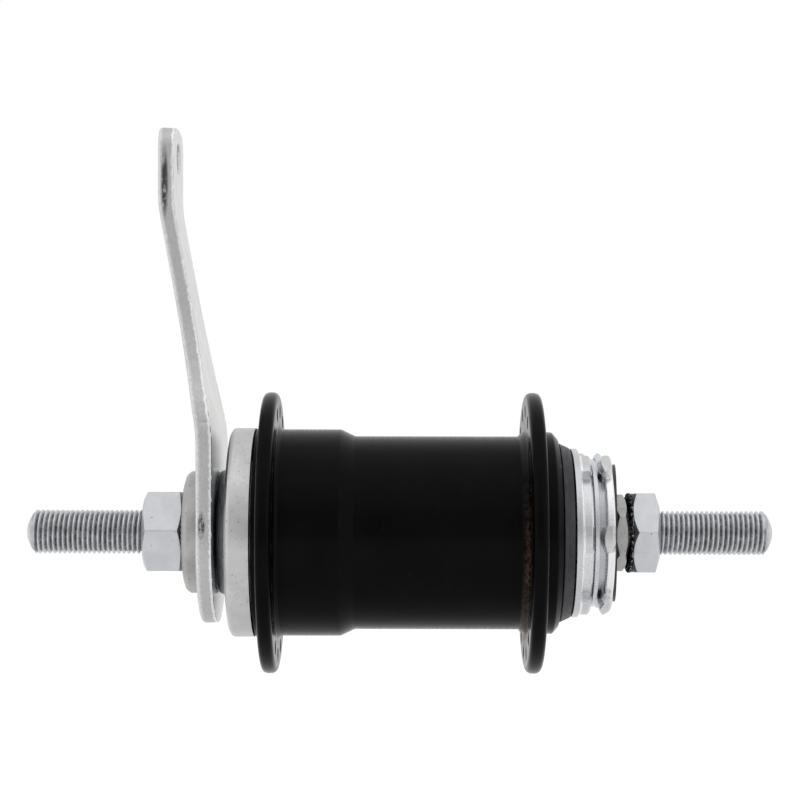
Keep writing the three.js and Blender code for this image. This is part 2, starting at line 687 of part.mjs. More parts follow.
// ---------------------------------------------------------------- clutch cone, shoes and their springs
const clutchTaper = (x) => SHOE_BORE - 0.75 + (x - SHOE_TAPER_RIGHT) * TAPER;
place(
  brake,
  "clutch_cone",
  turned([
    [CLUTCH_NOSE, CLUTCH_BORE],
    [CLUTCH_NOSE, clutchTaper(CLUTCH_NOSE)],
    [CLUTCH_BODY_FROM, clutchTaper(CLUTCH_BODY_FROM)],
    [CLUTCH_BODY_FROM, CLUTCH_BODY_R],
    [DRIVE_FROM, CLUTCH_BODY_R],
    [DRIVE_FROM, DRIVE_R],
    [DRIVE_TO, clutchR(DRIVE_TO)],
    [DRIVE_TO, 12.5],
    [DRIVE_TO - 3, 11],
    [DRIVE_TO - 3, CLUTCH_BORE],
  ]),
  hardSteel,
);

// The retarder spring: a split ring on the clutch cone's waist.
place(
  brake,
  "retarder_spring",
  cut(
    ring(CLUTCH_BODY_FROM + 0.15, DRIVE_FROM - GAP, CLUTCH_BODY_R + GAP, CLUTCH_BODY_R + 1.3),
    block(CLUTCH_BODY_FROM, DRIVE_FROM, -CLUTCH_BODY_R - 2, -CLUTCH_BODY_R + 1, -1.6, 1.6),
  ),
  zinc,
);

const SPRING_FROM = -14.1;
const SPRING_TO = -12.7;
const SPRING_GROOVE_R = 13.4;
const shoeRing = turned([
  [SHOE_FROM, SHOE_BORE + (SHOE_TAPER_LEFT - SHOE_FROM) * TAPER],
  [SHOE_FROM, SHOE_R - 0.4],
  [SHOE_FROM + 0.4, SHOE_R],
  [SPRING_FROM - GAP, SHOE_R],
  [SPRING_FROM - GAP, SPRING_GROOVE_R],
  [SPRING_TO + GAP, SPRING_GROOVE_R],
  [SPRING_TO + GAP, SHOE_R],
  [SHOE_TO - 0.4, SHOE_R],
  [SHOE_TO, SHOE_R - 0.4],
  [SHOE_TO, SHOE_BORE + (SHOE_TO - SHOE_TAPER_RIGHT) * TAPER],
  [SHOE_TAPER_RIGHT, SHOE_BORE],
  [SHOE_TAPER_LEFT, SHOE_BORE],
]);
const shoeHalf = block(SHOE_FROM - 1, SHOE_TO + 1, -20, 20, SHOE_HALF_SPLIT, 20);
place(brake, "upper_brake_shoe", shoeRing.intersect(shoeHalf), bronze);
place(brake, "lower_brake_shoe", shoeRing.intersect(shoeHalf.mirror([0, 0, 1])), bronze);
place(
  brake,
  "shoe_spring",
  cut(
    ring(SPRING_FROM, SPRING_TO, SPRING_GROOVE_R + SHOE_TRAVEL + 0.35, SHOE_R - 0.5),
    block(SPRING_FROM - 1, SPRING_TO + 1, SPRING_GROOVE_R, SHOE_R + 1, -2.4, 2.4),
  ),
  zinc,
);

// ---------------------------------------------------------------- bearings
// A retainer: a band on the outboard side of the balls with a finger between each pair, scooped clear of the balls.
function retainer({ x, pitch, ball, count, side }) {
  const near = x + side * ball * 0.45;
  const far = x + side * ball * 0.97;
  const x0 = Math.min(near, far);
  const x1 = Math.max(near, far);
  const band = ring(x0, x1, pitch + ball * 0.45, pitch + ball * 0.95);
  const fingers = [];
  const scoops = [];
  for (let i = 0; i < count; i++) {
    const turn = (i * 360) / count;
    const between = turn + 180 / count;
    const half = ball * 0.3;
    const finger = new THREE.BoxGeometry(ball * 1.3, 2 * half, ball * 1.2);
    finger.translate(x + side * ball * 0.25, 0, pitch + ball * 0.15).rotateX(degrees(between));
    fingers.push(solidOf(finger));
    const scoop = new THREE.IcosahedronGeometry(ball * 1.3, 0);
    scoops.push(solidOf(scoop.translate(x, 0, pitch).rotateX(degrees(turn))));
  }
  return cut(join(band, ...fingers), ...scoops);
}
function addBearing(name, bearing) {
  const { x, pitch, ball, count } = bearing;
  const holder = group(name, bearings);
  place(holder, name + "_retainer", retainer(bearing), hardSteel);
  for (let i = 0; i < count; i++) {
    const sphere = new THREE.IcosahedronGeometry(ball, 1);
    sphere.translate(x, 0, pitch).rotateX(degrees((i * 360) / count));
    place(holder, name + "_ball_" + (i + 1), solidOf(sphere), ballSteel);
  }
}
addBearing("left_bearing", LEFT_BEARING);
addBearing("right_bearing", RIGHT_BEARING);
addBearing("cone_bearing", CONE_BEARING);

export default hub;
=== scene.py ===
import math

import bmesh
import bpy
from mathutils import Matrix, Vector, noise


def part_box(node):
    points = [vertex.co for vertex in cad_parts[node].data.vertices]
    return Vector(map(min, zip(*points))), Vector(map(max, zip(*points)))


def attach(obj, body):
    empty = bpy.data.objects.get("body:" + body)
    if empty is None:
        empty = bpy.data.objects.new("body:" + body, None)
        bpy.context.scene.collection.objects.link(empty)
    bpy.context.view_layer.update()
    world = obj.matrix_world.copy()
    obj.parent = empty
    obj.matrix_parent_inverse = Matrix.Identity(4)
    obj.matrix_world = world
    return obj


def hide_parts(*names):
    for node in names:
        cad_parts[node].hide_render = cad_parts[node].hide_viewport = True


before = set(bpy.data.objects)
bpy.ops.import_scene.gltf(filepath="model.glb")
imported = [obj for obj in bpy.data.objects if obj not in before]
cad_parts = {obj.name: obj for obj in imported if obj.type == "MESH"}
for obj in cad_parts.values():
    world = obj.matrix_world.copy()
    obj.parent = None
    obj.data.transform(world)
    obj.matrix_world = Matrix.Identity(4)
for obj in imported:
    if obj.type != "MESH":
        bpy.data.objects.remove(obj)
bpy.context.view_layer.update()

# Millimetres throughout; meshes are scaled to metres when they are made.
MM = 0.001
GAP = 0.3
AXLE_R = 4.7
BORE = AXLE_R + GAP
PITCH = 25.4 / 24
ARM_LEFT = -43.2
ARM_THICK = 3.35
TAU = 2 * math.pi

axle_low, axle_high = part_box("axle")
AXLE_FROM = axle_low.x / MM
AXLE_TO = axle_high.x / MM


# ---------------------------------------------------------------- materials
class Finish:
    """A node material on object coordinates in millimetres."""

    def __init__(self, name, metallic, roughness, specular=0.5):
        self.material = bpy.data.materials.new(name)
        self.material.use_nodes = True
        self.tree = self.material.node_tree
        self.shader = self.tree.nodes["Principled BSDF"]
        self.shader.inputs["Metallic"].default_value = metallic
        self.shader.inputs["Roughness"].default_value = roughness
        self.shader.inputs["Specular IOR Level"].default_value = specular
        coordinates = self.node("ShaderNodeTexCoord")
        self.place = self.vector("MULTIPLY", coordinates.outputs["Object"], (1 / MM, 1 / MM, 1 / MM))
        self.normal_map = None

    def node(self, kind, inputs=None, **settings):
        made = self.tree.nodes.new(kind)
        for key, value in settings.items():
            setattr(made, key, value)
        for key, value in (inputs or {}).items():
            if isinstance(value, bpy.types.NodeSocket):
                self.tree.links.new(value, made.inputs[key])
            else:
                made.inputs[key].default_value = value
        return made

    def vector(self, operation, a, b):
        return self.node("ShaderNodeVectorMath", {0: a, 1: b}, operation=operation).outputs[0]

    def math(self, operation, a, b=0.0, clamp=False):
        return self.node("ShaderNodeMath", {0: a, 1: b}, operation=operation, use_clamp=clamp).outputs[0]

    def scale(self, value, low, high, to_low=0.0, to_high=1.0):
        keys = {"Value": value, "From Min": low, "From Max": high, "To Min": to_low, "To Max": to_high}
        return self.node("ShaderNodeMapRange", keys).outputs[0]

    def noise(self, per_mm, detail=3.0, rough=0.55, place=None, warp=0.0):
        keys = {"Vector": place or self.place, "Scale": per_mm, "Detail": detail, "Roughness": rough, "Distortion": warp}
        return self.node("ShaderNodeTexNoise", keys).outputs["Fac"]

    def mix(self, factor, a, b, blend="MIX"):
        made = self.node("ShaderNodeMix", {0: factor}, data_type="RGBA", blend_type=blend)
        for slot, value in ((6, a), (7, b)):
            if isinstance(value, bpy.types.NodeSocket):
                self.tree.links.new(value, made.inputs[slot])
            else:
                made.inputs[slot].default_value = (*value, 1)
        return made.outputs[2]

    def axes(self):
        return self.node("ShaderNodeSeparateXYZ", {0: self.place}).outputs

    def around(self, along, across):
        """Coordinates that stretch a texture round the X axis: fine along X, long in the turning direction."""
        x, y, z = self.axes()[:3]
        radius = self.math("SQRT", self.math("ADD", self.math("MULTIPLY", y, y), self.math("MULTIPLY", z, z)))
        cosine = self.math("MULTIPLY", self.math("DIVIDE", y, radius), across)
        sine = self.math("MULTIPLY", self.math("DIVIDE", z, radius), across)
        fine = self.math("MULTIPLY", self.math("ADD", x, self.math("MULTIPLY", radius, 0.7)), along)
        return self.node("ShaderNodeCombineXYZ", {0: fine, 1: cosine, 2: sine}).outputs[0]

    def facing(self, axis):
        """How much the surface faces along one of the object's axes, without its sign."""
        normal = self.node("ShaderNodeNewGeometry").outputs["Normal"]
        return self.math("ABSOLUTE", self.node("ShaderNodeSeparateXYZ", {0: normal}).outputs[axis])

    def edges(self, radius_mm, low=0.02, high=0.25):
        """1 along the convex and concave edges, 0 on open surfaces."""
        soft = self.node("ShaderNodeBevel", {"Radius": radius_mm * MM}, samples=4).outputs[0]
        hard = self.node("ShaderNodeNewGeometry").outputs["Normal"]
        gap = self.math("SUBTRACT", 1.0, self.node("ShaderNodeVectorMath", {0: soft, 1: hard}, operation="DOT_PRODUCT").outputs["Value"])
        return self.scale(gap, low, high)

    def hollows(self, reach_mm):
        """1 in crevices, 0 in the open."""
        seen = self.node("ShaderNodeAmbientOcclusion", {"Distance": reach_mm * MM}, samples=4).outputs["AO"]
        return self.scale(seen, 0.75, 0.25)

    def bump(self, height, depth_mm, strength=1.0):
        keys = {"Height": height, "Distance": depth_mm * MM, "Strength": strength}
        if self.normal_map:
            keys["Normal"] = self.normal_map
        self.normal_map = self.node("ShaderNodeBump", keys).outputs[0]

    def done(self, colour=None, roughness=None):
        if colour:
            self.tree.links.new(colour, self.shader.inputs["Base Color"])
        if roughness:
            self.tree.links.new(roughness, self.shader.inputs["Roughness"])
        if self.normal_map:
            self.tree.links.new(self.normal_map, self.shader.inputs["Normal"])
        return self.material


def plated(name, light, dark, roughness, grain=0.0, brushed=0.0, pits=0.0, warm=0.0, crevice_shade=0.5):
    """Zinc plate or bare steel: cloudy tone, fine grain, brushing round the axle, pits, painted shade in the crevices
    and pale edges.
    """
    f = Finish(name, 1.0, roughness)
    clouds = f.scale(f.noise(0.22, 4.0), 0.3, 0.7)
    colour = f.mix(clouds, dark, light)
    if warm:
        stain = f.scale(f.noise(0.5, 5.0, 0.6), 0.56, 0.75, 0.0, warm)
        colour = f.mix(stain, colour, (0.34, 0.27, 0.19))
    rough = f.scale(f.noise(1.7, 4.0), 0.3, 0.7, roughness - 0.07, roughness + 0.09)
    if brushed:
        lines = f.noise(5.0, 3.0, 0.6, f.around(1.0, 1.6))
        colour = f.mix(f.scale(lines, 0.35, 0.65, 0.0, 0.35 * brushed), colour, dark)
        f.bump(lines, 0.012 * brushed)
    if grain:
        f.bump(f.noise(4.5, 5.0, 0.65), 0.035 * grain)
        speck = f.scale(f.noise(6.0, 2.0), 0.56, 0.7, 0.0, 0.45 * grain)
        colour = f.mix(speck, colour, tuple(c * 0.55 for c in dark))
    if pits:
        spots = f.scale(f.noise(2.3, 2.0, 0.5), 0.68, 0.72, 0.0, pits)
        colour = f.mix(spots, colour, (0.06, 0.055, 0.05))
        f.bump(f.math("SUBTRACT", 1.0, spots), 0.05)
    # Painted shade: crevices found by ambient occlusion are darkened.
    colour = f.mix(f.math("MULTIPLY", f.hollows(0.9), crevice_shade), colour, (0.03, 0.03, 0.032))
    colour = f.mix(f.math("MULTIPLY", f.edges(0.25), 0.5), colour, (0.86, 0.86, 0.87))
    return f.done(colour, rough)


def thread_finish():
    f = Finish("zinc_thread", 1.0, 0.3)
    x, y, z = f.axes()[:3]
    radius = f.math("SQRT", f.math("ADD", f.math("MULTIPLY", y, y), f.math("MULTIPLY", z, z)))
    clouds = f.scale(f.noise(0.6, 4.0), 0.3, 0.7)
    colour = f.mix(clouds, (0.44, 0.45, 0.46), (0.6, 0.61, 0.63))
    # The thread roots are darker, in patches, fading out near the tips.
    root = f.scale(radius, AXLE_R - 0.5, AXLE_R - 0.18, 1.0, 0.0)
    threaded = f.scale(f.math("ABSOLUTE", f.math("ADD", x, 1.2)), 79.0, 77.4)
    root_darkening = f.math("MULTIPLY", f.math("MULTIPLY", root, threaded), f.scale(f.noise(1.1, 3.0), 0.25, 0.6, 0.15, 0.8))
    colour = f.mix(root_darkening, colour, (0.09, 0.09, 0.095))
    rough = f.scale(f.noise(3.0, 3.0), 0.3, 0.7, 0.2, 0.4)
    f.bump(f.noise(5.0, 3.0), 0.015)
    colour = f.mix(f.math("MULTIPLY", f.edges(0.12), 0.5), colour, (0.86, 0.86, 0.87))
    return f.done(colour, rough)


def lacquer():
    """Thick glossy black lacquer with fine dust, faint swirls and a little brown muck where the right flange meets the
    barrel.
    """
    f = Finish("black_lacquer", 0.0, 0.2, 0.25)
    f.shader.inputs["IOR"].default_value = 1.2
    x, y, z = f.axes()[:3]
    radius = f.math("SQRT", f.math("ADD", f.math("MULTIPLY", y, y), f.math("MULTIPLY", z, z)))
    clouds = f.scale(f.noise(0.12, 3.0), 0.3, 0.7)
    colour = f.mix(clouds, (0.0006, 0.0006, 0.0007), (0.0018, 0.0018, 0.0021))
    dust = f.scale(f.noise(3.2, 2.0, 0.5), 0.74, 0.78, 0.0, 0.3)
    colour = f.mix(dust, colour, (0.09, 0.085, 0.08))
    side = f.math("MULTIPLY", f.scale(x, 24.0, 25.0), f.scale(x, 26.2, 25.8))
    root = f.math("MULTIPLY", side, f.scale(radius, 25.6, 21.8))
    low = f.scale(z, 12.0, -16.0, 0.1, 1.0)
    smear = f.math("MULTIPLY", f.math("MULTIPLY", root, low), f.scale(f.noise(0.9, 5.0, 0.65), 0.45, 0.62))
    lip = f.math("MULTIPLY", f.scale(x, 28.8, 29.3), f.scale(f.noise(0.45, 4.0, 0.7), 0.71, 0.74))
    colour = f.mix(f.math("MULTIPLY", f.math("ADD", smear, lip, True), 0.55), colour, (0.12, 0.07, 0.04))
    lines = f.noise(2.2, 4.0, 0.6, f.around(1.0, 0.9))
    rough = f.math("ADD", f.scale(lines, 0.3, 0.7, 0.16, 0.27), f.math("MULTIPLY", smear, 0.4))
    f.bump(f.noise(0.35, 2.0), 0.008)
    f.bump(f.noise(2.6, 2.0), 0.001)
    colour = f.mix(f.math("MULTIPLY", f.edges(0.3), 0.03), colour, (0.3, 0.3, 0.31))
    return f.done(colour, rough)


def arm_finish():
    """Zinc-plated plate: smooth faces, and sheared edges with a torn middle, a bright burr and a few dark scuffs."""
    f = Finish("zinc_arm", 1.0, 0.36)
    sheared = f.scale(f.facing(0), 0.75, 0.45)
    clouds = f.scale(f.noise(0.16, 4.0), 0.3, 0.7)
    face = f.mix(clouds, (0.5, 0.495, 0.49), (0.6, 0.597, 0.595))
    torn_place = f.vector("MULTIPLY", f.place, (1.0, 1.0, 0.45))
    torn = f.noise(3.2, 6.0, 0.7, torn_place, 0.5)
    across = f.node("ShaderNodeAttribute", attribute_name="across").outputs["Fac"]
    wandering = f.math("ADD", across, f.scale(f.noise(1.3, 4.0, 0.7), 0.3, 0.7, -0.07, 0.07))
    zones = f.node("ShaderNodeValToRGB", {"Fac": wandering})
    ramp = zones.color_ramp.elements
    ramp[0].position, ramp[0].color = 0.0, (0.82, 0.82, 0.83, 1)
    ramp[1].position, ramp[1].color = 1.0, (0.85, 0.85, 0.85, 1)
    for place, grey in ((0.14, 0.7), (0.3, 0.5), (0.8, 0.5), (0.9, 0.86)):
        step = ramp.new(place)
        step.color = (grey, grey, grey * 1.01, 1)
    edge = f.mix(f.scale(torn, 0.42, 0.66, 0.0, 0.3), zones.outputs["Color"], (0.22, 0.22, 0.22))
    colour = f.mix(sheared, face, edge)
    rust = f.scale(f.noise(0.9, 5.0, 0.7), 0.64, 0.76, 0.0, 0.6)
    colour = f.mix(f.math("MULTIPLY", rust, f.scale(sheared, 0.0, 1.0, 1.0, 0.15)), colour, (0.28, 0.2, 0.14))
    scuffs = (((-50.8, -9.5, 74.2), (0.9, 4.0, 8.5), 0.36), ((-41.9, -19.3, 2.6), (0.9, 3.0, 3.2), 0.42))
    for centre, size, least in scuffs:
        offset = f.vector("DIVIDE", f.vector("SUBTRACT", f.place, centre), size)
        reach = f.node("ShaderNodeVectorMath", {0: offset}, operation="LENGTH").outputs["Value"]
        patchy = f.scale(f.noise(1.8, 5.0, 0.8, torn_place), least, least + 0.12)
        scuff = f.math("MULTIPLY", f.scale(reach, 1.0, 0.5), patchy, True)
        colour = f.mix(f.math("MULTIPLY", scuff, 0.9), colour, (0.025, 0.024, 0.024))
    colour = f.mix(f.math("MULTIPLY", f.edges(0.22), 0.6), colour, (0.9, 0.9, 0.9))
    rough = f.mix(sheared, (0.24, 0.24, 0.24), (0.42, 0.42, 0.42))
    f.bump(f.math("MULTIPLY", torn, sheared), 0.09)
    f.bump(f.noise(1.4, 4.0), 0.015)
    return f.done(colour, rough)


def driver_finish():
    """Turned and plated steel: lug tops and the groove darkened as painted shade, the polished step and outer band
    lightened as painted highlight, painted shade in crevices, fine turning lines and a few rust pricks.
    """
    f = Finish("zinc_driver", 1.0, 0.3)
    x, y, z = f.axes()[:3]
    radius = f.math("SQRT", f.math("ADD", f.math("MULTIPLY", y, y), f.math("MULTIPLY", z, z)))
    clouds = f.scale(f.noise(0.3, 4.0), 0.3, 0.7)
    colour = f.mix(clouds, (0.6, 0.61, 0.63), (0.7, 0.71, 0.735))
    lines = f.noise(4.0, 3.0, 0.6, f.around(1.0, 1.6))
    colour = f.mix(f.scale(lines, 0.4, 0.7, 0.0, 0.4), colour, (0.47, 0.47, 0.48))
    # Painted shade: the flat lug tops are darkened, as they face the dim front.
    lug_top_shade = f.math("MULTIPLY", f.scale(radius, 17.2, 17.7), f.scale(x, 36.9, 37.0))
    colour = f.mix(f.math("MULTIPLY", lug_top_shade, 0.6), colour, (0.52, 0.515, 0.51))
    collar = f.scale(x, 36.72, 36.66)
    colour = f.mix(f.math("MULTIPLY", collar, 0.7), colour, (0.5, 0.5, 0.51))
    # Painted shade: the snap ring's groove is darkened.
    groove = f.math("MULTIPLY", f.scale(radius, 15.3, 14.6), f.scale(x, 39.1, 39.3))
    colour = f.mix(f.math("MULTIPLY", groove, 0.7), colour, (0.36, 0.365, 0.38))
    # Painted highlight: the polished floor step and the outer band are lightened.
    step = f.math("MULTIPLY", f.scale(x, 36.74, 36.8), f.scale(x, 37.22, 37.16))
    band = f.math("MULTIPLY", f.scale(x, 42.1, 42.4), f.scale(radius, 16.6, 16.2))
    colour = f.mix(f.math("ADD", step, band, True), colour, (0.8, 0.8, 0.81))
    rust = f.scale(f.noise(1.1, 5.0, 0.75), 0.68, 0.76, 0.0, 0.55)
    colour = f.mix(rust, colour, (0.4, 0.25, 0.13))
    pits = f.scale(f.noise(2.6, 2.0, 0.5), 0.7, 0.74, 0.0, 0.6)
    colour = f.mix(pits, colour, (0.07, 0.065, 0.06))
    f.bump(lines, 0.008)
    f.bump(f.noise(1.6, 4.0), 0.02)
    # Painted shade: crevices found by ambient occlusion are darkened.
    colour = f.mix(f.math("MULTIPLY", f.hollows(0.3), 0.15), colour, (0.04, 0.04, 0.042))
    colour = f.mix(f.math("MULTIPLY", f.edges(0.2), 0.6), colour, (0.9, 0.9, 0.91))
    return f.done(colour, f.scale(f.noise(1.7, 4.0), 0.3, 0.7, 0.22, 0.36))


def nut_finish(boss_to=None):
    """Bright zinc with a soft orange peel and painted shade in its crevices; a serrated boss, where there is one, is
    dark with oil and grit.
    """
    f = Finish("zinc_nut_bossed" if boss_to else "zinc_nut", 1.0, 0.38)
    clouds = f.scale(f.noise(0.3, 4.0), 0.3, 0.7)
    colour = f.mix(clouds, (0.5, 0.51, 0.53), (0.58, 0.59, 0.615))
    spots = f.scale(f.noise(1.3, 2.0, 0.4), 0.735, 0.75)
    colour = f.mix(spots, colour, (0.05, 0.05, 0.05))
    f.bump(f.noise(2.5, 4.0), 0.02)
    f.bump(f.noise(0.5, 2.0), 0.05)
    colour = f.mix(f.math("MULTIPLY", f.edges(0.3), 0.45), colour, (0.88, 0.88, 0.89))
    if boss_to:
        x = f.axes()[0]
        black = f.math("MULTIPLY", f.scale(x, boss_to + 0.1, boss_to - 0.05), f.scale(f.noise(3.0, 3.0, 0.7), 0.62, 0.56))
        colour = f.mix(black, colour, (0.02, 0.02, 0.02))
    # Painted shade: crevices found by ambient occlusion are darkened.
    colour = f.mix(f.math("MULTIPLY", f.hollows(0.8), 0.6), colour, (0.03, 0.03, 0.03))
    return f.done(colour, f.scale(f.noise(1.2, 3.0), 0.3, 0.7, 0.3, 0.46))


def blued():
    """Hardened and blued steel: bluish, turned bands; the brake cone's left end, beside the arm, is painted near black
    as shadow.
    """
    f = Finish("blued_steel", 1.0, 0.3)
    x = f.axes()[0]
    lines = f.noise(2.5, 4.0, 0.6, f.around(1.0, 1.0))
    colour = f.mix(f.scale(lines, 0.3, 0.7), (0.56, 0.595, 0.62), (0.68, 0.715, 0.74))
    # Painted shadow: the brake cone's left end, next to the arm, is darkened to near black.
    colour = f.mix(f.scale(x, -39.3, -38.3, 0.9, 0.0), colour, (0.03, 0.034, 0.039))
    dirty = f.math("MULTIPLY", f.scale(x, 43.2, 43.5), f.scale(f.noise(2.2, 4.0, 0.7), 0.62, 0.52))
    colour = f.mix(dirty, colour, (0.02, 0.02, 0.02))
    colour = f.mix(f.math("MULTIPLY", f.edges(0.25), 0.4), colour, (0.3, 0.33, 0.37))
    f.bump(lines, 0.01)
    return f.done(colour, f.scale(lines, 0.3, 0.7, 0.2, 0.42))


def oxide(name, light, dark, roughness):
    """Matt phosphate over pressed steel, with pale dust and a few rust pricks."""
    f = Finish(name, 0.55, roughness, 0.4)
    clouds = f.scale(f.noise(0.25, 5.0), 0.3, 0.7)
    colour = f.mix(clouds, dark, light)
    lines = f.noise(3.5, 4.0, 0.6, f.around(1.0, 1.2))
    colour = f.mix(f.scale(lines, 0.4, 0.7, 0.0, 0.35), colour, tuple(c * 1.7 for c in light))
    colour = f.mix(f.scale(f.noise(3.6, 2.0), 0.68, 0.74, 0.0, 0.7), colour, (0.25, 0.23, 0.22))
    colour = f.mix(f.scale(f.noise(2.1, 3.0), 0.7, 0.75, 0.0, 0.8), colour, (0.22, 0.12, 0.06))
    colour = f.mix(f.math("MULTIPLY", f.edges(0.25), 0.35), colour, (0.3, 0.3, 0.31))
    f.bump(f.noise(5.0, 4.0), 0.02)
    f.bump(lines, 0.006)
    return f.done(colour, f.scale(f.noise(1.5, 3.0), 0.3, 0.7, roughness - 0.1, roughness + 0.1))


CAST_LIGHT = (0.49, 0.486, 0.48)
CAST_DARK = (0.36, 0.357, 0.352)
finishes = {
    "thread": thread_finish(),
    "nut": nut_finish(),
    "bossed_nut": nut_finish(48.35),
    "cast": plated("zinc_cast", CAST_LIGHT, CAST_DARK, 0.42, grain=0.5, brushed=0.8, pits=0.6, warm=0.2),
    "left_cap": plated("zinc_left_cap", (0.62, 0.618, 0.617), (0.51, 0.509, 0.508), 0.4, grain=0.5, brushed=1.0, pits=0.6),
    "arm": arm_finish(),
    "driver": driver_finish(),
    "blued": blued(),
    "lacquer": lacquer(),
    "cap": oxide("dark_cap", (0.045, 0.043, 0.048), (0.026, 0.025, 0.029), 0.5),
    "hard": plated("hard_steel", (0.5, 0.5, 0.51), (0.34, 0.34, 0.35), 0.28, brushed=1.0, warm=0.3),
    "ball": plated("ball_steel", (0.78, 0.78, 0.79), (0.66, 0.66, 0.67), 0.1, brushed=0.2),
    "retainer": plated("retainer_steel", (0.46, 0.42, 0.36), (0.3, 0.28, 0.24), 0.35, grain=0.4, warm=0.5),
    "spring": plated("spring_steel", (0.64, 0.65, 0.67), (0.5, 0.51, 0.53), 0.26, brushed=0.6),
    "bronze": plated("shoe_bronze", (0.5, 0.3, 0.13), (0.3, 0.17, 0.075), 0.4, grain=0.6, warm=0.6),
}


# ---------------------------------------------------------------- mesh building
def point(x, radius, angle):
    """A place on a circle round the axle, its angle in radians from -Y upwards."""
    return Vector((x, -radius * math.cos(angle), radius * math.sin(angle))) * MM


def arc(x, r, radius, start, stop, steps=12):
    angles = [math.radians(start + (stop - start) * i / steps) for i in range(steps + 1)]
    return [(x + radius * math.cos(a), r + radius * math.sin(a), 0) for a in angles]


def rounded(corners, radius=0.15, steps=3, closed=True):
    """A section's corners (x, r, own fillet radius) with each corner turned into a small arc of steps + 1 points."""
    out = []
    count = len(corners)
    for i, corner in enumerate(corners):
        here = Vector(corner[:2])
        size = corner[2] if len(corner) > 2 else radius
        if not closed and i in (0, count - 1):
            size = 0
        before = Vector(corners[i - 1][:2]) - here
        after = Vector(corners[(i + 1) % count][:2]) - here
        if size == 0:
            out.append((here.x, here.y))
            continue
        if before.length < 1e-6 or after.length < 1e-6:
            out.extend([(here.x, here.y)] * (steps + 1))
            continue
        turn = before.normalized().angle(after.normalized(), math.pi)
        reach = min(size / max(math.tan(turn / 2), 0.05), 0.48 * before.length, 0.48 * after.length)
        a = here + before.normalized() * reach
        b = here + after.normalized() * reach
        for k in range(steps + 1):
            t = k / steps
            p = a * (1 - t) ** 2 + here * 2 * t * (1 - t) + b * t * t
            out.append((p.x, p.y))
    return out


def grid_mesh(name, columns, ring_rows=True, ring_columns=True):
    """A surface through columns of points; open ends in the turning direction are capped."""
    mesh = bmesh.new()
    lines = [[mesh.verts.new(p) for p in column] for column in columns]
    rows = len(lines[0])
    for j in range(len(lines) if ring_columns else len(lines) - 1):
        here, there = lines[j], lines[(j + 1) % len(lines)]
        for i in range(rows if ring_rows else rows - 1):
            k = (i + 1) % rows
            mesh.faces.new((here[i], there[i], there[k], here[k]))
    if not ring_columns:
        mesh.faces.new(lines[0])
        mesh.faces.new(lines[-1][::-1])
    return seal(name, mesh)


def seal(name, mesh, merge=0.0004):
    """Joins doubled points, drops empty faces and turns every face outwards."""
    bmesh.ops.remove_doubles(mesh, verts=mesh.verts, dist=merge * MM)
    bmesh.ops.dissolve_degenerate(mesh, edges=mesh.edges, dist=merge * MM)
    bmesh.ops.recalc_face_normals(mesh, faces=mesh.faces)
    data = bpy.data.meshes.new(name)
    mesh.to_mesh(data)
    mesh.free()
    return data


def add(node, data, body, finish, sharp=32):
    """Puts a finished mesh in the scene in the place of its CAD node."""
    data.materials.clear()
    data.materials.append(finishes[finish])
    data.shade_smooth()
    data.set_sharp_from_angle(angle=math.radians(sharp))
    made = bpy.data.objects.new(node + "_finished", data)
    bpy.context.scene.collection.objects.link(made)
    weighted = made.modifiers.new("even_shading", "WEIGHTED_NORMAL")
    weighted.keep_sharp = True
    weighted.mode = "FACE_AREA"
    weighted.weight = 60
    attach(made, body)
    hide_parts(node)
    return made


def even(count):
    return [TAU * i / count for i in range(count)]


def turned(name, section, sides=160, closed=True):
    """A ring or solid of one section all the way round."""
    return grid_mesh(name, [[point(x, r, a) for x, r in section] for a in even(sides)], ring_rows=closed)


def shaped(name, section_at, angles):
    """A ring whose section changes with the angle."""
    return grid_mesh(name, [[point(x, r, a) for x, r in section_at(a)] for a in angles])


def split_ring(name, section, middle, opening, sides=120):
    """A ring with an opening, in degrees, round its middle angle."""
    start = math.radians(middle + opening / 2)
    sweep = math.radians(360 - opening)
    columns = [[point(x, r, start + sweep * i / sides) for x, r in section] for i in range(sides + 1)]
    return grid_mesh(name, columns, ring_columns=False)


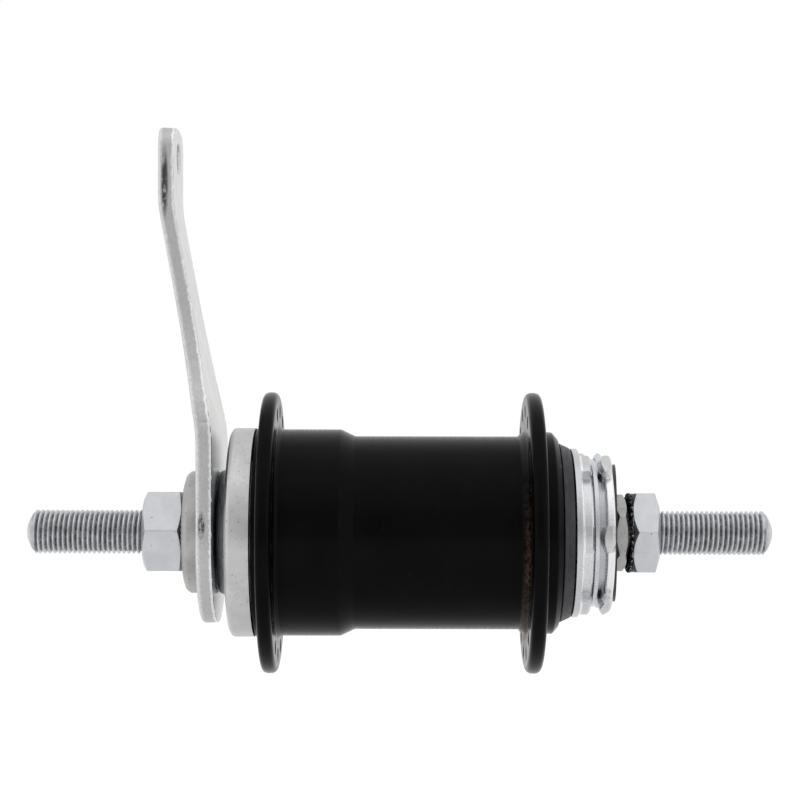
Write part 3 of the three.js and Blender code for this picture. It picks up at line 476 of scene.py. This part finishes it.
# ---------------------------------------------------------------- axle
def axle_mesh():
    """A rolled thread cut in one helix at each end of the shank, with domed tips."""
    sides = 56
    per_turn = [(0.0, 0.0), (0.11, 0.0), (0.2, 0.1), (0.42, 0.56), (0.5, 0.6), (0.58, 0.56), (0.8, 0.1), (0.89, 0.0)]
    mesh = bmesh.new()

    def helix(start, stop, fade_start, fade_stop):
        turns = math.ceil((stop - start) / PITCH) + 1
        rows = turns * len(per_turn) + 1
        columns = []
        for j in range(sides + 1):
            column = []
            for i in range(rows):
                turn, k = divmod(i, len(per_turn))
                share, depth = per_turn[k]
                x = start - PITCH + (turn + share + j / sides) * PITCH
                x = min(max(x, start), stop)
                fade = min(1.0, max(0.0, (x - start) / fade_start), max(0.0, (stop - x) / fade_stop))
                rough = 1 + 0.03 * noise.noise(Vector((x * 0.8, j * 0.4, 3.0)))
                column.append(mesh.verts.new(point(x, AXLE_R - depth * fade * rough, TAU * j / sides)))
            columns.append(column)
        for here, there in zip(columns, columns[1:]):
            for i in range(rows - 1):
                mesh.faces.new((here[i], there[i], there[i + 1], here[i + 1]))

    def lathe(section):
        lines = [[mesh.verts.new(point(x, r, a)) for x, r in section] for a in even(sides)]
        for j in range(sides):
            here, there = lines[j], lines[(j + 1) % sides]
            for i in range(len(section) - 1):
                mesh.faces.new((here[i], there[i], there[i + 1], here[i + 1]))

    tip = 2.0
    left_start = AXLE_FROM + tip
    right_stop = AXLE_TO - tip
    helix(left_start, -40.0, 0.3, 1.6)
    helix(36.0, right_stop, 1.6, 0.3)
    lathe([(-40.0, AXLE_R), (36.0, AXLE_R)])
    dome = [(0.0, 0.0), (0.05, 0.9), (0.25, 1.8), (0.6, 2.6), (0.95, 3.3), (1.25, 3.85), (1.55, 4.15), (1.8, 4.25), (2.0, 4.3)]
    lathe([(AXLE_FROM + x, r) for x, r in dome])
    lathe([(AXLE_TO - x, r) for x, r in dome])
    return seal("axle", mesh)


add("axle", axle_mesh(), "axle_assembly", "thread", 40)


# ---------------------------------------------------------------- nuts and locknuts
def hexagon_radius(angle, flats, turn, corner=0.45):
    """Radius of a hexagon with softened corners, one corner at the turn angle."""
    apothem = flats / 2
    off = math.radians(30) - (angle - math.radians(turn)) % math.radians(60)
    off = abs(off)
    if apothem * math.tan(off) <= (apothem - corner) * math.tan(math.radians(30)):
        return apothem / math.cos(off)
    centre = (apothem - corner) / math.cos(math.radians(30))
    away = math.radians(30) - off
    return centre * math.cos(away) + math.sqrt(max(0.0, corner ** 2 - (centre * math.sin(away)) ** 2))


def hex_angles(turn):
    """Angles round a hexagon, close together at its corners."""
    steps = [0, 0.4, 0.9, 1.5, 2.2, 3, 4.2, 6, 9, 13, 18, 24, 30]
    half = steps + [60 - s for s in reversed(steps[1:-1])]
    return [math.radians(turn + 60 * c + s) for c in range(6) for s in half]


def hex_section(angle, x0, x1, flats, turn, start, end, boss=None):
    """The nut's section at one angle; start and end are (depth, rise) of the chamfers at the corners."""
    h = hexagon_radius(angle, flats, turn)
    top = flats / math.sqrt(3)

    def chamfer(face, inwards, depth, rise):
        low = top - rise
        if h <= low:
            return (face, h), (face + inwards * 0.01, h)
        share = (h - low) / rise
        return (face, low), (face + inwards * depth * share, h)

    a0, a1 = chamfer(x0, 1, *start)
    b0, b1 = chamfer(x1, -1, *end)
    corners = [(x0, BORE + 0.35, 0.1), (*a0, 0.12), (*a1, 0.18), (*b1, 0.18), (*b0, 0.12), (x1, BORE + 0.35, 0.1)]
    corners += [(x1 - 0.6, BORE, 0.1), (x0 + 0.6, BORE, 0.1)]
    if boss:
        corners[0:1] = boss
    return rounded(corners)


def left_nut():
    return shaped("left_nut", lambda a: hex_section(a, -55.8, -47.4, 16.8, 5, (1.1, 2.2), (0.6, 1.4)), hex_angles(5))


def right_nut():
    teeth = 34

    def section(a):
        bite = 0.5 + 0.5 * math.cos(teeth * a)
        ragged = 0.12 * noise.noise(Vector((math.cos(a) * 9, math.sin(a) * 9, 1.0)))
        face = 47.45 + 0.4 * (1 - bite) + abs(ragged)
        radius = 8.6 - 0.28 * (1 - bite) + ragged * 0.5 - 0.06
        boss = [(face, BORE + 0.35, 0.1), (face, radius - 0.25, 0.12), (face + 0.25, radius, 0.12), (48.3, radius, 0.08)]
        return hex_section(a, 48.3, 54.2, 16.8, 4, (1.0, 1.3), (1.1, 3.2), boss)

    angles = sorted(set(round(a % TAU, 5) for a in hex_angles(4) + even(teeth * 8)))
    return shaped("right_nut", section, angles)


def left_locknut():
    teeth = 60

    def section(a):
        bite = 0.5 + 0.5 * math.cos(teeth * a)
        face = -47.1 + 0.12 * (1 - bite)
        return rounded([
            (-46.6, BORE + 0.3), (-46.6, 10.0), (face, 10.3, 0.12), (face, 10.95, 0.12), (-46.65, 12.4, 0.35), (-45.8, 13.05, 0.5),
            (-43.75, 13.05, 0.25), (-43.5, 12.7, 0.1), (-43.5, BORE + 0.3), (-44.0, BORE, 0.1), (-46.2, BORE, 0.1),
        ])

    return shaped("left_locknut", section, even(teeth * 6))


def right_locknut():
    return shaped(
        "right_locknut", lambda a: hex_section(a, 44.85, 47.1, 14.4, 29, (0.5, 1.0), (0.5, 1.0)), hex_angles(29)
    )


add("left_axle_nut", left_nut(), "axle_assembly", "nut")
add("right_axle_nut", right_nut(), "axle_assembly", "bossed_nut")
add("left_locknut", left_locknut(), "axle_assembly", "cast")
add("right_locknut", right_locknut(), "axle_assembly", "cast")


# ---------------------------------------------------------------- brake arm
def joggle(z):
    """How far the plate is set outwards at a height, with soft bends."""
    low, high, soft, travel = 21.4, 69.5, 3.0, 9.05

    def ramp(t):
        if t <= -soft:
            return 0.0
        if t >= soft:
            return t
        return (t + soft) ** 2 / (4 * soft)

    return travel * (ramp(z - low) - ramp(z - high)) / (high - low)


def smooth_line(points, per_step):
    """A Catmull-Rom curve through the points."""
    ends = [points[0] * 2 - points[1]] + points + [points[-1] * 2 - points[-2]]
    out = []
    for a, b, c, d in zip(ends, ends[1:], ends[2:], ends[3:]):
        for i in range(per_step):
            t = i / per_step
            out.append(0.5 * (2 * b + (c - a) * t + (2 * a - 5 * b + 4 * c - d) * t * t + (3 * b - a - 3 * c + d) * t ** 3))
    return out + [points[-1]]


def arm_outline():
    """The plate's outline as [y, z], once round."""
    side = [Vector((19.4 * math.cos(a), 19.4 * math.sin(a))) for a in [math.radians(-90 + 3 * i) for i in range(31)]]
    flank = [(19.4, 0), (19.33, 12), (19.2, 20), (18.5, 24), (16.8, 28.5), (14.2, 33), (11.9, 39), (10.2, 46), (9.5, 54), (9.3, 68), (9.3, 82.0)]
    side += smooth_line([Vector(p) for p in flank], 7)[1:]
    for i in range(1, 10):
        a = math.radians(9 * i)
        side.append(Vector((4.8 + 4.5 * math.cos(a), 81.75 + 4.5 * math.sin(a))))
    side += [Vector((4.0, 86.35)), Vector((2.6, 86.47)), Vector((1.3, 86.53)), Vector((0, 86.55))]
    return side + [Vector((-p.x, p.y)) for p in reversed(side[1:-1])]


def evenly(points, step):
    """The closed line with points at an even spacing."""
    loop = points + [points[0]]
    lengths = [(b - a).length for a, b in zip(loop, loop[1:])]
    count = max(24, round(sum(lengths) / step))
    out = []
    each = sum(lengths) / count
    for i in range(count):
        target = i * each
        k = 0
        while target > lengths[k] and k < len(lengths) - 1:
            target -= lengths[k]
            k += 1
        out.append(loop[k].lerp(loop[k + 1], min(1.0, target / max(lengths[k], 1e-9))))
    return out


def arm_mesh():
    """The pressed plate: an outline and two holes with sheared, slightly ragged edges, then the joggle."""
    mesh = bmesh.new()
    right = ARM_LEFT + ARM_THICK
    caps = {ARM_LEFT: [], right: []}
    across = mesh.verts.layers.float.new("across")

    def rim(line, inwards, ragged):
        """The edge's surface from the left face to the right face; inwards is +1 for the outline and -1 for a hole."""
        count = len(line)
        columns = []
        for j, p in enumerate(line):
            along = (line[(j + 1) % count] - line[j - 1]).normalized()
            outward = Vector((along.y, -along.x)) * inwards
            wobble = noise.noise(Vector((p.x * 0.9, p.y * 0.9, 5.0))) + 0.6 * noise.noise(Vector((p.x * 2.7, p.y * 2.7, 9.0)))
            tear = ragged * wobble
            section = [
                (ARM_LEFT, 0.55), (ARM_LEFT + 0.06, 0.3), (ARM_LEFT + 0.22, 0.12), (ARM_LEFT + 0.5, 0.03), (ARM_LEFT + 1.1, 0.0),
                (ARM_LEFT + 1.7 + 0.5 * tear, 0.02 + 0.1 * abs(tear)), (right - 0.75, 0.08 + 0.14 * abs(tear)),
                (right - 0.3 + 0.2 * tear, 0.06 + 0.1 * abs(tear)), (right - 0.1, 0.1 + 0.16 * abs(tear)), (right, 0.3 + 0.22 * tear),
            ]
            column = []
            for x, inset in section:
                flat = p - outward * inset
                corner = mesh.verts.new(Vector((x, flat.x, flat.y)) * MM)
                corner[across] = (x - ARM_LEFT) / ARM_THICK
                column.append(corner)
            columns.append(column)
        for j in range(count):
            here, there = columns[j], columns[(j + 1) % count]
            for i in range(len(here) - 1):
                mesh.faces.new((here[i], there[i], there[i + 1], here[i + 1]))
        for face_x, k in ((ARM_LEFT, 0), (right, -1)):
            caps[face_x] += [mesh.edges.get((columns[j][k], columns[(j + 1) % count][k])) for j in range(count)]

    rim(evenly(arm_outline(), 0.55), 1, 1.0)
    hole = [Vector((3.25 * math.cos(a), 80.2 + 3.25 * math.sin(a))) for a in even(48)]
    rim(hole, -1, 0.15)
    seat = []
    for a in even(96):
        radius = min(7.9, 6.2 / max(abs(math.cos(a)), 1e-6))
        seat.append(Vector((radius * math.cos(a), radius * math.sin(a))))
    rim(seat, -1, 0.15)
    for edges in caps.values():
        bmesh.ops.triangle_fill(mesh, use_beauty=True, use_dissolve=False, edges=edges)
    heights = [15 + 1.0 * i for i in range(13)] + [63 + 1.0 * i for i in range(13)]
    for z in heights:
        bmesh.ops.bisect_plane(
            mesh, geom=mesh.verts[:] + mesh.edges[:] + mesh.faces[:], plane_co=(0, 0, z * MM), plane_no=(0, 0, 1)
        )
    for v in mesh.verts:
        v.co.x -= joggle(v.co.z / MM) * MM
    return seal("arm", mesh, 0.0001)


add("brake_arm", arm_mesh(), "axle_assembly", "arm", 38)


# ---------------------------------------------------------------- brake cone, left cap, adjusting cone
LEFT_BALLS = {"x": -28.6, "pitch": 15.9, "ball": 3.175, "count": 9, "side": -1}
RIGHT_BALLS = {"x": 28.5, "pitch": 14.9, "ball": 3.175, "count": 10, "side": 1}
CONE_BALLS = {"x": 39.5, "pitch": 9.5, "ball": 2.38, "count": 7, "side": 1}
TAPER = 0.3


def brake_cone():
    track = LEFT_BALLS["ball"] + GAP
    shoulder = -180 + math.degrees(math.asin((LEFT_BALLS["pitch"] - 13.9) / track))

    def section(a):
        key = min(7.6, 5.9 / max(abs(math.cos(a)), 1e-6))
        tang = min(15.4, 2.5 / max(abs(math.sin(a)), 1e-6))
        taper = [(x, 10.5 + (-18.5 - x) * TAPER) for x in (-23.7, -20.5)]
        outer = [(x, max(r, tang if tang > 8.9 else 0)) for x, r in taper]
        reach = -17.0 if tang > 8.9 else -20.48
        tip = max(8.9, outer[1][1])
        corners = [
            (-42.9, BORE + 0.2), (-42.9, key), (-39.55, key, 0), (-39.55, 13.0, 0.2), (-37.55, 13.9, 0.15), (-37.3, 13.85, 0.05),
            *arc(LEFT_BALLS["x"], LEFT_BALLS["pitch"], track, shoulder, -90, 10),
            (-24.2, 12.4, 0.1), (outer[0][0], outer[0][1], 0.1), (reach, tip, 0.1), (reach, 8.65, 0.05), (-24.2, 8.2, 0.05), (-24.2, BORE, 0.05),
        ]
        return rounded(corners)

    return shaped("brake_cone", section, even(240))


def left_cap():
    return turned("left_cap", rounded([
        (-37.2, 14.2, 0.15), (-37.2, 15.6, 0.2), (-37.18, 21.4, 0.06), (-36.7, 22.2, 0.15), (-36.1, 22.35, 0.2), (-32.05, 22.33, 0.12),
        (-32, 20.95, 0.1), (-35.8, 20.65, 0.5), (-35.8, 15.4, 0.4), (-32.2, 15.2, 0.1), (-32.2, 14.2, 0.1),
    ]), 200)


def adjusting_cone():
    track = CONE_BALLS["ball"] + GAP
    teeth = 26

    def section(a):
        bite = 0.5 + 0.5 * math.cos(teeth * a)
        ragged = 0.3 * noise.noise(Vector((math.cos(a) * 6, math.sin(a) * 6, 4.0)))
        rim = 9.1 - 0.3 * (1 - bite) + ragged
        face = 44.55 - 0.25 * (1 - bite) - 0.4 * abs(ragged)
        return rounded([
            (37.2, BORE), (37.2, 6.4), (37.6, 6.8, 0.1), *arc(CONE_BALLS["x"], CONE_BALLS["pitch"], track, -90, -4, 10),
            (42.3, 9.0, 0.1), (43.6, min(9.2, rim + 0.3), 0.1), (face - 0.2, min(9.2, rim), 0.15), (face, rim - 0.4, 0.15), (face, BORE),
        ])

    return shaped("adjusting_cone", section, even(teeth * 10))


add("brake_cone", brake_cone(), "axle_assembly", "blued")
add("left_dust_cap", left_cap(), "axle_assembly", "left_cap")
add("adjusting_cone", adjusting_cone(), "axle_assembly", "blued")
shoe_spring = split_ring("shoe_spring", rounded([(-14.1, 14.35), (-14.1, 15.7), (-12.7, 15.7), (-12.7, 14.35)], 0.3), 180, 18)
add("shoe_spring", shoe_spring, "axle_assembly", "spring")


# ---------------------------------------------------------------- hub shell
def shell_mesh():
    """The turned shell with two drilled and countersunk flanges."""
    section = rounded([
        (-31.7, 20.6, 0.1), (-31.7, 22.4, 0.3), (-30.36, 22.4, 0.25), (-30.36, 30.05, 1.45), (-27.13, 30.05, 1.45), (-27.13, 22.75, 0.9),
        (-26.2, 22.1, 0.3), (-13.8, 22.1, 0.6), (-10.7, 20.65, 0.6), (24.1, 20.65, 0.4), (25.6, 22.0, 0.9), (25.6, 30.05, 1.6),
        (28.95, 30.05, 1.6), (28.95, 21.6, 0.3), (31.3, 21.6, 0.7), (32.5, 20.2, 0.25), (32.5, 19.45, 0.1),
        (23.7, 19.45, 0.1), (23.7, 18.8, 0.1), (-23.8, 18.8, 0.1), (-23.8, 20.6, 0.1),
    ], steps=7)
    body = bpy.data.objects.new("shell_blank", turned("shell_blank", section, 216))
    tools = bmesh.new()
    for x0, x1, start in ((-30.36, -27.13, 6), (25.5, 28.66, 16)):
        for i in range(18):
            a = math.radians(90 + start + 20 * i)
            cy, cz = -26 * math.cos(a), 26 * math.sin(a)
            profile = [(x0 - 0.4, 0), (x0 - 0.4, 1.95), (x0 + 0.3, 1.3), (x1 - 0.3, 1.3), (x1 + 0.4, 1.95), (x1 + 0.4, 0)]
            lines = [
                [tools.verts.new(Vector((x, cy + r * math.cos(t), cz + r * math.sin(t))) * MM) for x, r in profile] for t in even(20)
            ]
            for j in range(20):
                here, there = lines[j], lines[(j + 1) % 20]
                for k in range(len(profile) - 1):
                    tools.faces.new((here[k], there[k], there[k + 1], here[k + 1]))
    drill = bpy.data.objects.new("drill", seal("drill", tools))
    for o in (body, drill):
        bpy.context.scene.collection.objects.link(o)
    cut = body.modifiers.new("holes", "BOOLEAN")
    cut.operation = "DIFFERENCE"
    cut.solver = "EXACT"
    cut.object = drill
    graph = bpy.context.evaluated_depsgraph_get()
    data = bpy.data.meshes.new_from_object(body.evaluated_get(graph))
    bpy.data.objects.remove(body)
    bpy.data.objects.remove(drill)
    return data


add("hub_shell", shell_mesh(), "hub_shell_assembly", "lacquer", 30)


def cup(balls, outer, mouth):
    x, pitch, side = balls["x"], balls["pitch"], balls["side"]
    track = balls["ball"] + GAP
    inboard = 180 if side > 0 else 0
    back = x - side * (track + 1)
    return turned("cup", rounded([
        (mouth, outer), (mouth, pitch + track), *arc(x, pitch, track, 90, inboard, 12),
        (x - side * track, pitch - 1.2), (back, pitch - 1.2), (back, outer, 0.5),
    ], 0.2), 120)


def clutch_radius(x):
    return 17 - (x - 1) * 0.147


add("left_ball_cup", cup(LEFT_BALLS, 20.3, -31.5), "hub_shell_assembly", "hard")
add("right_ball_cup", cup(RIGHT_BALLS, 19.15, 32.2), "hub_shell_assembly", "hard")
add("brake_liner", turned("brake_liner", rounded([(-23.5, 17.1), (-23.5, 18.5), (-2, 18.5), (-2, 17.1)], 0.25), 120), "hub_shell_assembly", "hard")
ring_section = [(0.5, clutch_radius(0.5) + 0.35), (0.5, 18.5), (12.5, 18.5), (12.5, clutch_radius(12.5) + 0.35)]
add("drive_ring", turned("drive_ring", rounded(ring_section, 0.25), 120), "hub_shell_assembly", "hard")


# ---------------------------------------------------------------- driver
def driver_mesh():
    """The driver: screw, ball track, collar, six split lugs, groove for the snap ring and the outer cone's cup."""
    track = RIGHT_BALLS["ball"] + GAP
    cone_track = CONE_BALLS["ball"] + GAP
    neck = -math.degrees(math.asin((RIGHT_BALLS["pitch"] - 13) / track))
    middles = [math.radians(-0.6 + 60 * i) for i in range(6)]
    half = math.radians(9.6)
    side_width = math.radians(0.8)

    def lug_place(a):
        """How much of a lug there is at an angle, and how far off its middle, as a share of its half width."""
        off = min(((a - m + math.pi) % TAU - math.pi for m in middles), key=abs)
        t = min(1.0, max(0.0, (half + side_width * 0.5 - abs(off)) / side_width))
        return t * t * (3 - 2 * t), max(-1.0, min(1.0, off / half))

    def section(a):
        share, off = lug_place(a)
        point_x = 40.65 + 0.6 * max(0.0, (abs(off) - 0.3) / 0.7)
        cut_back = 0.9 * max(0.0, (-off - 0.3) / 0.7)
        floor = [
            (36.75, 16.35, 0.1), (37.15, 16.3, 0.12), (37.2, 15.82, 0.08), (37.6, 15.8, 0.05), (38.8, 15.78, 0.1), (39.18, 15.6, 0.1),
            (39.2, 14.3, 0.1), (41.85, 14.3, 0.1), (41.87, 15.65, 0.15), (42.1, 15.8, 0.1), (42.9, 15.8, 0.1), (43.4, 15.8, 0.2), (43.63, 15.55, 0.1),
        ]
        lug = [
            (36.75, 18.02, 0.03), (37.15, 18.0, 0.03), (37.2, 18.0, 0.03), (37.6, 18.0, 0.03), (38.6, 18.0, 0.35), (39.1, 17.45, 0.35),
            (39.2, 14.3, 0.1), (point_x, 14.3, 0.1), (point_x, 16.9, 0.3), (point_x + 0.45, 18.05, 0.4),
            (42.95 - cut_back, 18.05, 0.4), (43.5 - cut_back, 17.3, 0.5), (43.63, 15.6, 0.2),
        ]
        blend = [tuple(f * (1 - share) + g * share for f, g in zip(p, q)) for p, q in zip(floor, lug)]
        return rounded([
            (2, 5.3), (2, 7.6, 0.3), (2.6, 8.2, 0.3), (13.6, 8.2, 0.2), (13.6, 10.8, 0.2), (24.5, 11.2, 0.05),
            *arc(RIGHT_BALLS["x"], RIGHT_BALLS["pitch"], track, -90, neck, 10),
            (35.4, 13, 0.2), (35.4, 18.1, 0.25), (36.72, 18.1, 0.15), *blend, (43.65, 15.1, 0.08), (42.9, 15.1, 0.1),
            (42.9, 12.18, 0.2), *arc(CONE_BALLS["x"], CONE_BALLS["pitch"], cone_track, 90, 180, 8), (36.8, 5.3, 0.2),
        ])

    angles = list(even(180))
    for m in middles:
        for edge in (-half, half):
            angles += [m + edge + side_width * k / 8 for k in range(-5, 6)]
    return shaped("driver", section, sorted(set(round(a % TAU, 5) for a in angles)))


add("driver", driver_mesh(), "driver_assembly", "driver")
cap_section = rounded([
    (32.9, 18.2, 0.1), (32.9, 19.2, 0.15), (35.1, 18.2, 0.25), (35.1, 13.3, 0.1), (32.9, 13.3, 0.1), (32.9, 14.6, 0.1),
    (34.1, 14.8, 0.4), (34.1, 17.8, 0.4),
])
add("right_dust_cap", turned("right_dust_cap", cap_section, 200), "driver_assembly", "cap")
snap_section = rounded([(39.45, 14.6), (39.45, 15.8), (40.4, 15.8), (40.4, 14.6)], 0.15)
add("sprocket_snap_ring", split_ring("sprocket_snap_ring", snap_section, 150, 14, 160), "driver_assembly", "spring")
end_section = rounded([
    (-0.9, 11.1), (-0.9, 11.7), (-0.25, 11.7), (-0.25, 14.7), (0.22, 14.68), (0.25, 14.2), (0.25, 10.1), (-0.25, 10.1), (-0.25, 11.1),
], 0.08)
end_cap = turned("driver_end_cap", end_section, 160)
end_cap.transform(Matrix.Translation((44.8 * MM, 0, 0)) @ Matrix.Rotation(math.radians(-3.8), 4, "Z"))
add("driver_end_cap", end_cap, "driver_assembly", "cap")


# ---------------------------------------------------------------- clutch, shoes and springs
clutch_section = rounded([
    (-6.3, 8.6), (-6.3, 10.81), (-0.6, 12.52), (-0.6, 14), (1, 14), (1, 17), (10.5, clutch_radius(10.5)), (10.5, 12.5), (7.5, 11), (7.5, 8.6),
], 0.25)
add("clutch_cone", turned("clutch_cone", clutch_section, 120), "clutch", "hard")
drag_section = rounded([(-0.45, 14.3), (-0.45, 15.3), (0.7, 15.3), (0.7, 14.3)], 0.3)
add("retarder_spring", split_ring("retarder_spring", drag_section, 0, 13), "clutch", "spring")


def shoe(up):
    """A half ring with tapers in its bore, a spring groove round it and scored drag marks."""
    section = rounded([
        (-23.3, 12.34), (-23.3, 15.8), (-22.9, 16.2), (-14.4, 16.2), (-14.4, 13.4), (-12.4, 13.4), (-12.4, 16.2), (-3.4, 16.2),
        (-3, 15.8), (-3, 12.55), (-8.5, 10.9), (-18.5, 10.9),
    ], 0.15)
    columns = []
    steps = 90
    for i in range(steps + 1):
        column = []
        for x, r in section:
            edge = math.asin(2.9 / r)
            a = edge + (math.pi - 2 * edge) * i / steps
            scored = 0.05 * noise.noise(Vector((x * 2.0, 0.3 * i, 2.0))) if r > 15.9 else 0.0
            column.append(point(x, r - abs(scored), a if up else -a))
        columns.append(column)
    return grid_mesh("shoe", columns, ring_columns=False)


add("upper_brake_shoe", shoe(True), "upper_shoe", "bronze")
add("lower_brake_shoe", shoe(False), "lower_shoe", "bronze")


# ---------------------------------------------------------------- bearings
def retainer(balls):
    """A pressed cage: a band beside the balls with a finger between each pair, its pockets clear of the balls."""
    x, pitch, ball, side = balls["x"], balls["pitch"], balls["ball"], balls["side"]
    clear = ball * 1.12

    def near(radius, a):
        off = ((a - math.pi / 2) * balls["count"] / TAU + 0.5) % 1 - 0.5
        off *= TAU / balls["count"]
        across = (radius * math.cos(off) - pitch) ** 2 + (radius * math.sin(off)) ** 2
        pocket = math.sqrt(max(0.0, clear ** 2 - across))
        return x + side * max(pocket, -0.35 * ball) if pocket > 0 else x - side * 0.35 * ball

    low, high = pitch + 0.42 * ball, pitch + 0.9 * ball
    far = x + side * ball * 1.0

    def section(a):
        rows = [(near(low, a), low), (near((low + high) / 2, a), (low + high) / 2), (near(high, a), high)]
        rows = [(x_near if side * (far - x_near) > 0.3 else far - side * 0.3, r) for x_near, r in rows]
        return rows + [(far, high), (far, low)]

    return shaped("retainer", section, even(balls["count"] * 28))


def ball_mesh(balls, index):
    made = bmesh.new()
    bmesh.ops.create_icosphere(made, subdivisions=4, radius=balls["ball"] * MM)
    place = point(balls["x"], balls["pitch"], math.pi / 2 + TAU * index / balls["count"])
    bmesh.ops.translate(made, vec=place, verts=made.verts)
    return seal("ball", made)


for name, balls, body in (
    ("left_bearing", LEFT_BALLS, "left_ball_ring"),
    ("right_bearing", RIGHT_BALLS, "right_ball_ring"),
    ("cone_bearing", CONE_BALLS, "cone_ball_ring"),
):
    add(name + "_retainer", retainer(balls), body, "retainer")
    for i in range(balls["count"]):
        add(f"{name}_ball_{i + 1}", ball_mesh(balls, i), body, "ball", 60)


# ---------------------------------------------------------------- floor, light and camera
def disc(name, radius, location, turn, material):
    mesh = bmesh.new()
    bmesh.ops.create_circle(mesh, cap_ends=True, segments=96, radius=radius)
    data = bpy.data.meshes.new(name)
    mesh.to_mesh(data)
    mesh.free()
    data.materials.append(material)
    made = bpy.data.objects.new(name, data)
    made.location = location
    made.rotation_euler = turn
    bpy.context.scene.collection.objects.link(made)
    return made


def studio():
    scene = bpy.context.scene
    pale = bpy.data.materials.new("pale_floor")
    pale.use_nodes = True
    shader = pale.node_tree.nodes["Principled BSDF"]
    shader.inputs["Base Color"].default_value = (0.86, 0.86, 0.86, 1)
    shader.inputs["Roughness"].default_value = 0.9
    shader.inputs["Emission Color"].default_value = (1, 1, 1, 1)
    shader.inputs["Emission Strength"].default_value = 0.15
    disc("floor", 3.0, (0, 0, -0.075), (0, 0, 0), pale)

    # A grey card well in front of the object dulls what faces it; it fades to the white of the room at its rim.
    grey = bpy.data.materials.new("grey_card")
    grey.use_nodes = True
    tree = grey.node_tree
    shader = tree.nodes["Principled BSDF"]
    shader.inputs["Base Color"].default_value = (0, 0, 0, 1)
    shader.inputs["Specular IOR Level"].default_value = 0
    shader.inputs["Emission Color"].default_value = (1, 1, 1, 1)
    place = tree.nodes.new("ShaderNodeTexCoord")
    reach = tree.nodes.new("ShaderNodeVectorMath")
    reach.operation = "LENGTH"
    fade = tree.nodes.new("ShaderNodeMapRange")
    fade.interpolation_type = "SMOOTHSTEP"
    fade.inputs["From Min"].default_value = 0.36
    fade.inputs["From Max"].default_value = 0.98
    fade.inputs["To Min"].default_value = 0.62
    fade.inputs["To Max"].default_value = 1.0
    tree.links.new(place.outputs["Object"], reach.inputs[0])
    tree.links.new(reach.outputs["Value"], fade.inputs["Value"])
    tree.links.new(fade.outputs[0], shader.inputs["Emission Strength"])
    card = disc("grey_card", 1.0, (0, -1.1, 0.05), (math.radians(90), 0, 0), grey)
    card.visible_camera = False
    card.visible_shadow = False

    world = bpy.data.worlds.new("studio")
    world.use_nodes = True
    scene.world = world
    ground = world.node_tree.nodes["Background"]
    ground.inputs["Color"].default_value = (1, 1, 1, 1)
    ground.inputs["Strength"].default_value = 1.0

    def lamp(name, place, size, power, aim=(0, 0, 0)):
        light = bpy.data.lights.new(name, "AREA")
        light.shape = "RECTANGLE"
        light.size, light.size_y = size
        light.energy = power
        made = bpy.data.objects.new(name, light)
        made.location = place
        made.rotation_euler = (Vector(aim) - Vector(place)).to_track_quat("-Z", "Y").to_euler()
        scene.collection.objects.link(made)

    lamp("top_softbox", (0, -0.15, 0.75), (1.0, 0.7), 0.5)
    lamp("left_softbox", (-0.7, -0.35, 0.3), (0.5, 0.8), 0.15)
    lamp("right_softbox", (0.7, -0.35, 0.3), (0.5, 0.8), 0.15)

    scene.view_settings.view_transform = "Standard"
    camera = bpy.data.cameras.new("camera")
    camera.lens = 90
    camera.sensor_width = 36
    camera.shift_x = -0.004
    camera.shift_y = -0.009
    camera.clip_start = 0.01
    made = bpy.data.objects.new("camera", camera)
    turn = Matrix.Rotation(math.radians(90), 4, "X") @ Matrix.Rotation(math.radians(0.13), 4, "Z")
    made.matrix_world = Matrix.Translation((-0.0005, -0.43, 0.03)) @ turn
    scene.collection.objects.link(made)
    scene.camera = made


studio()
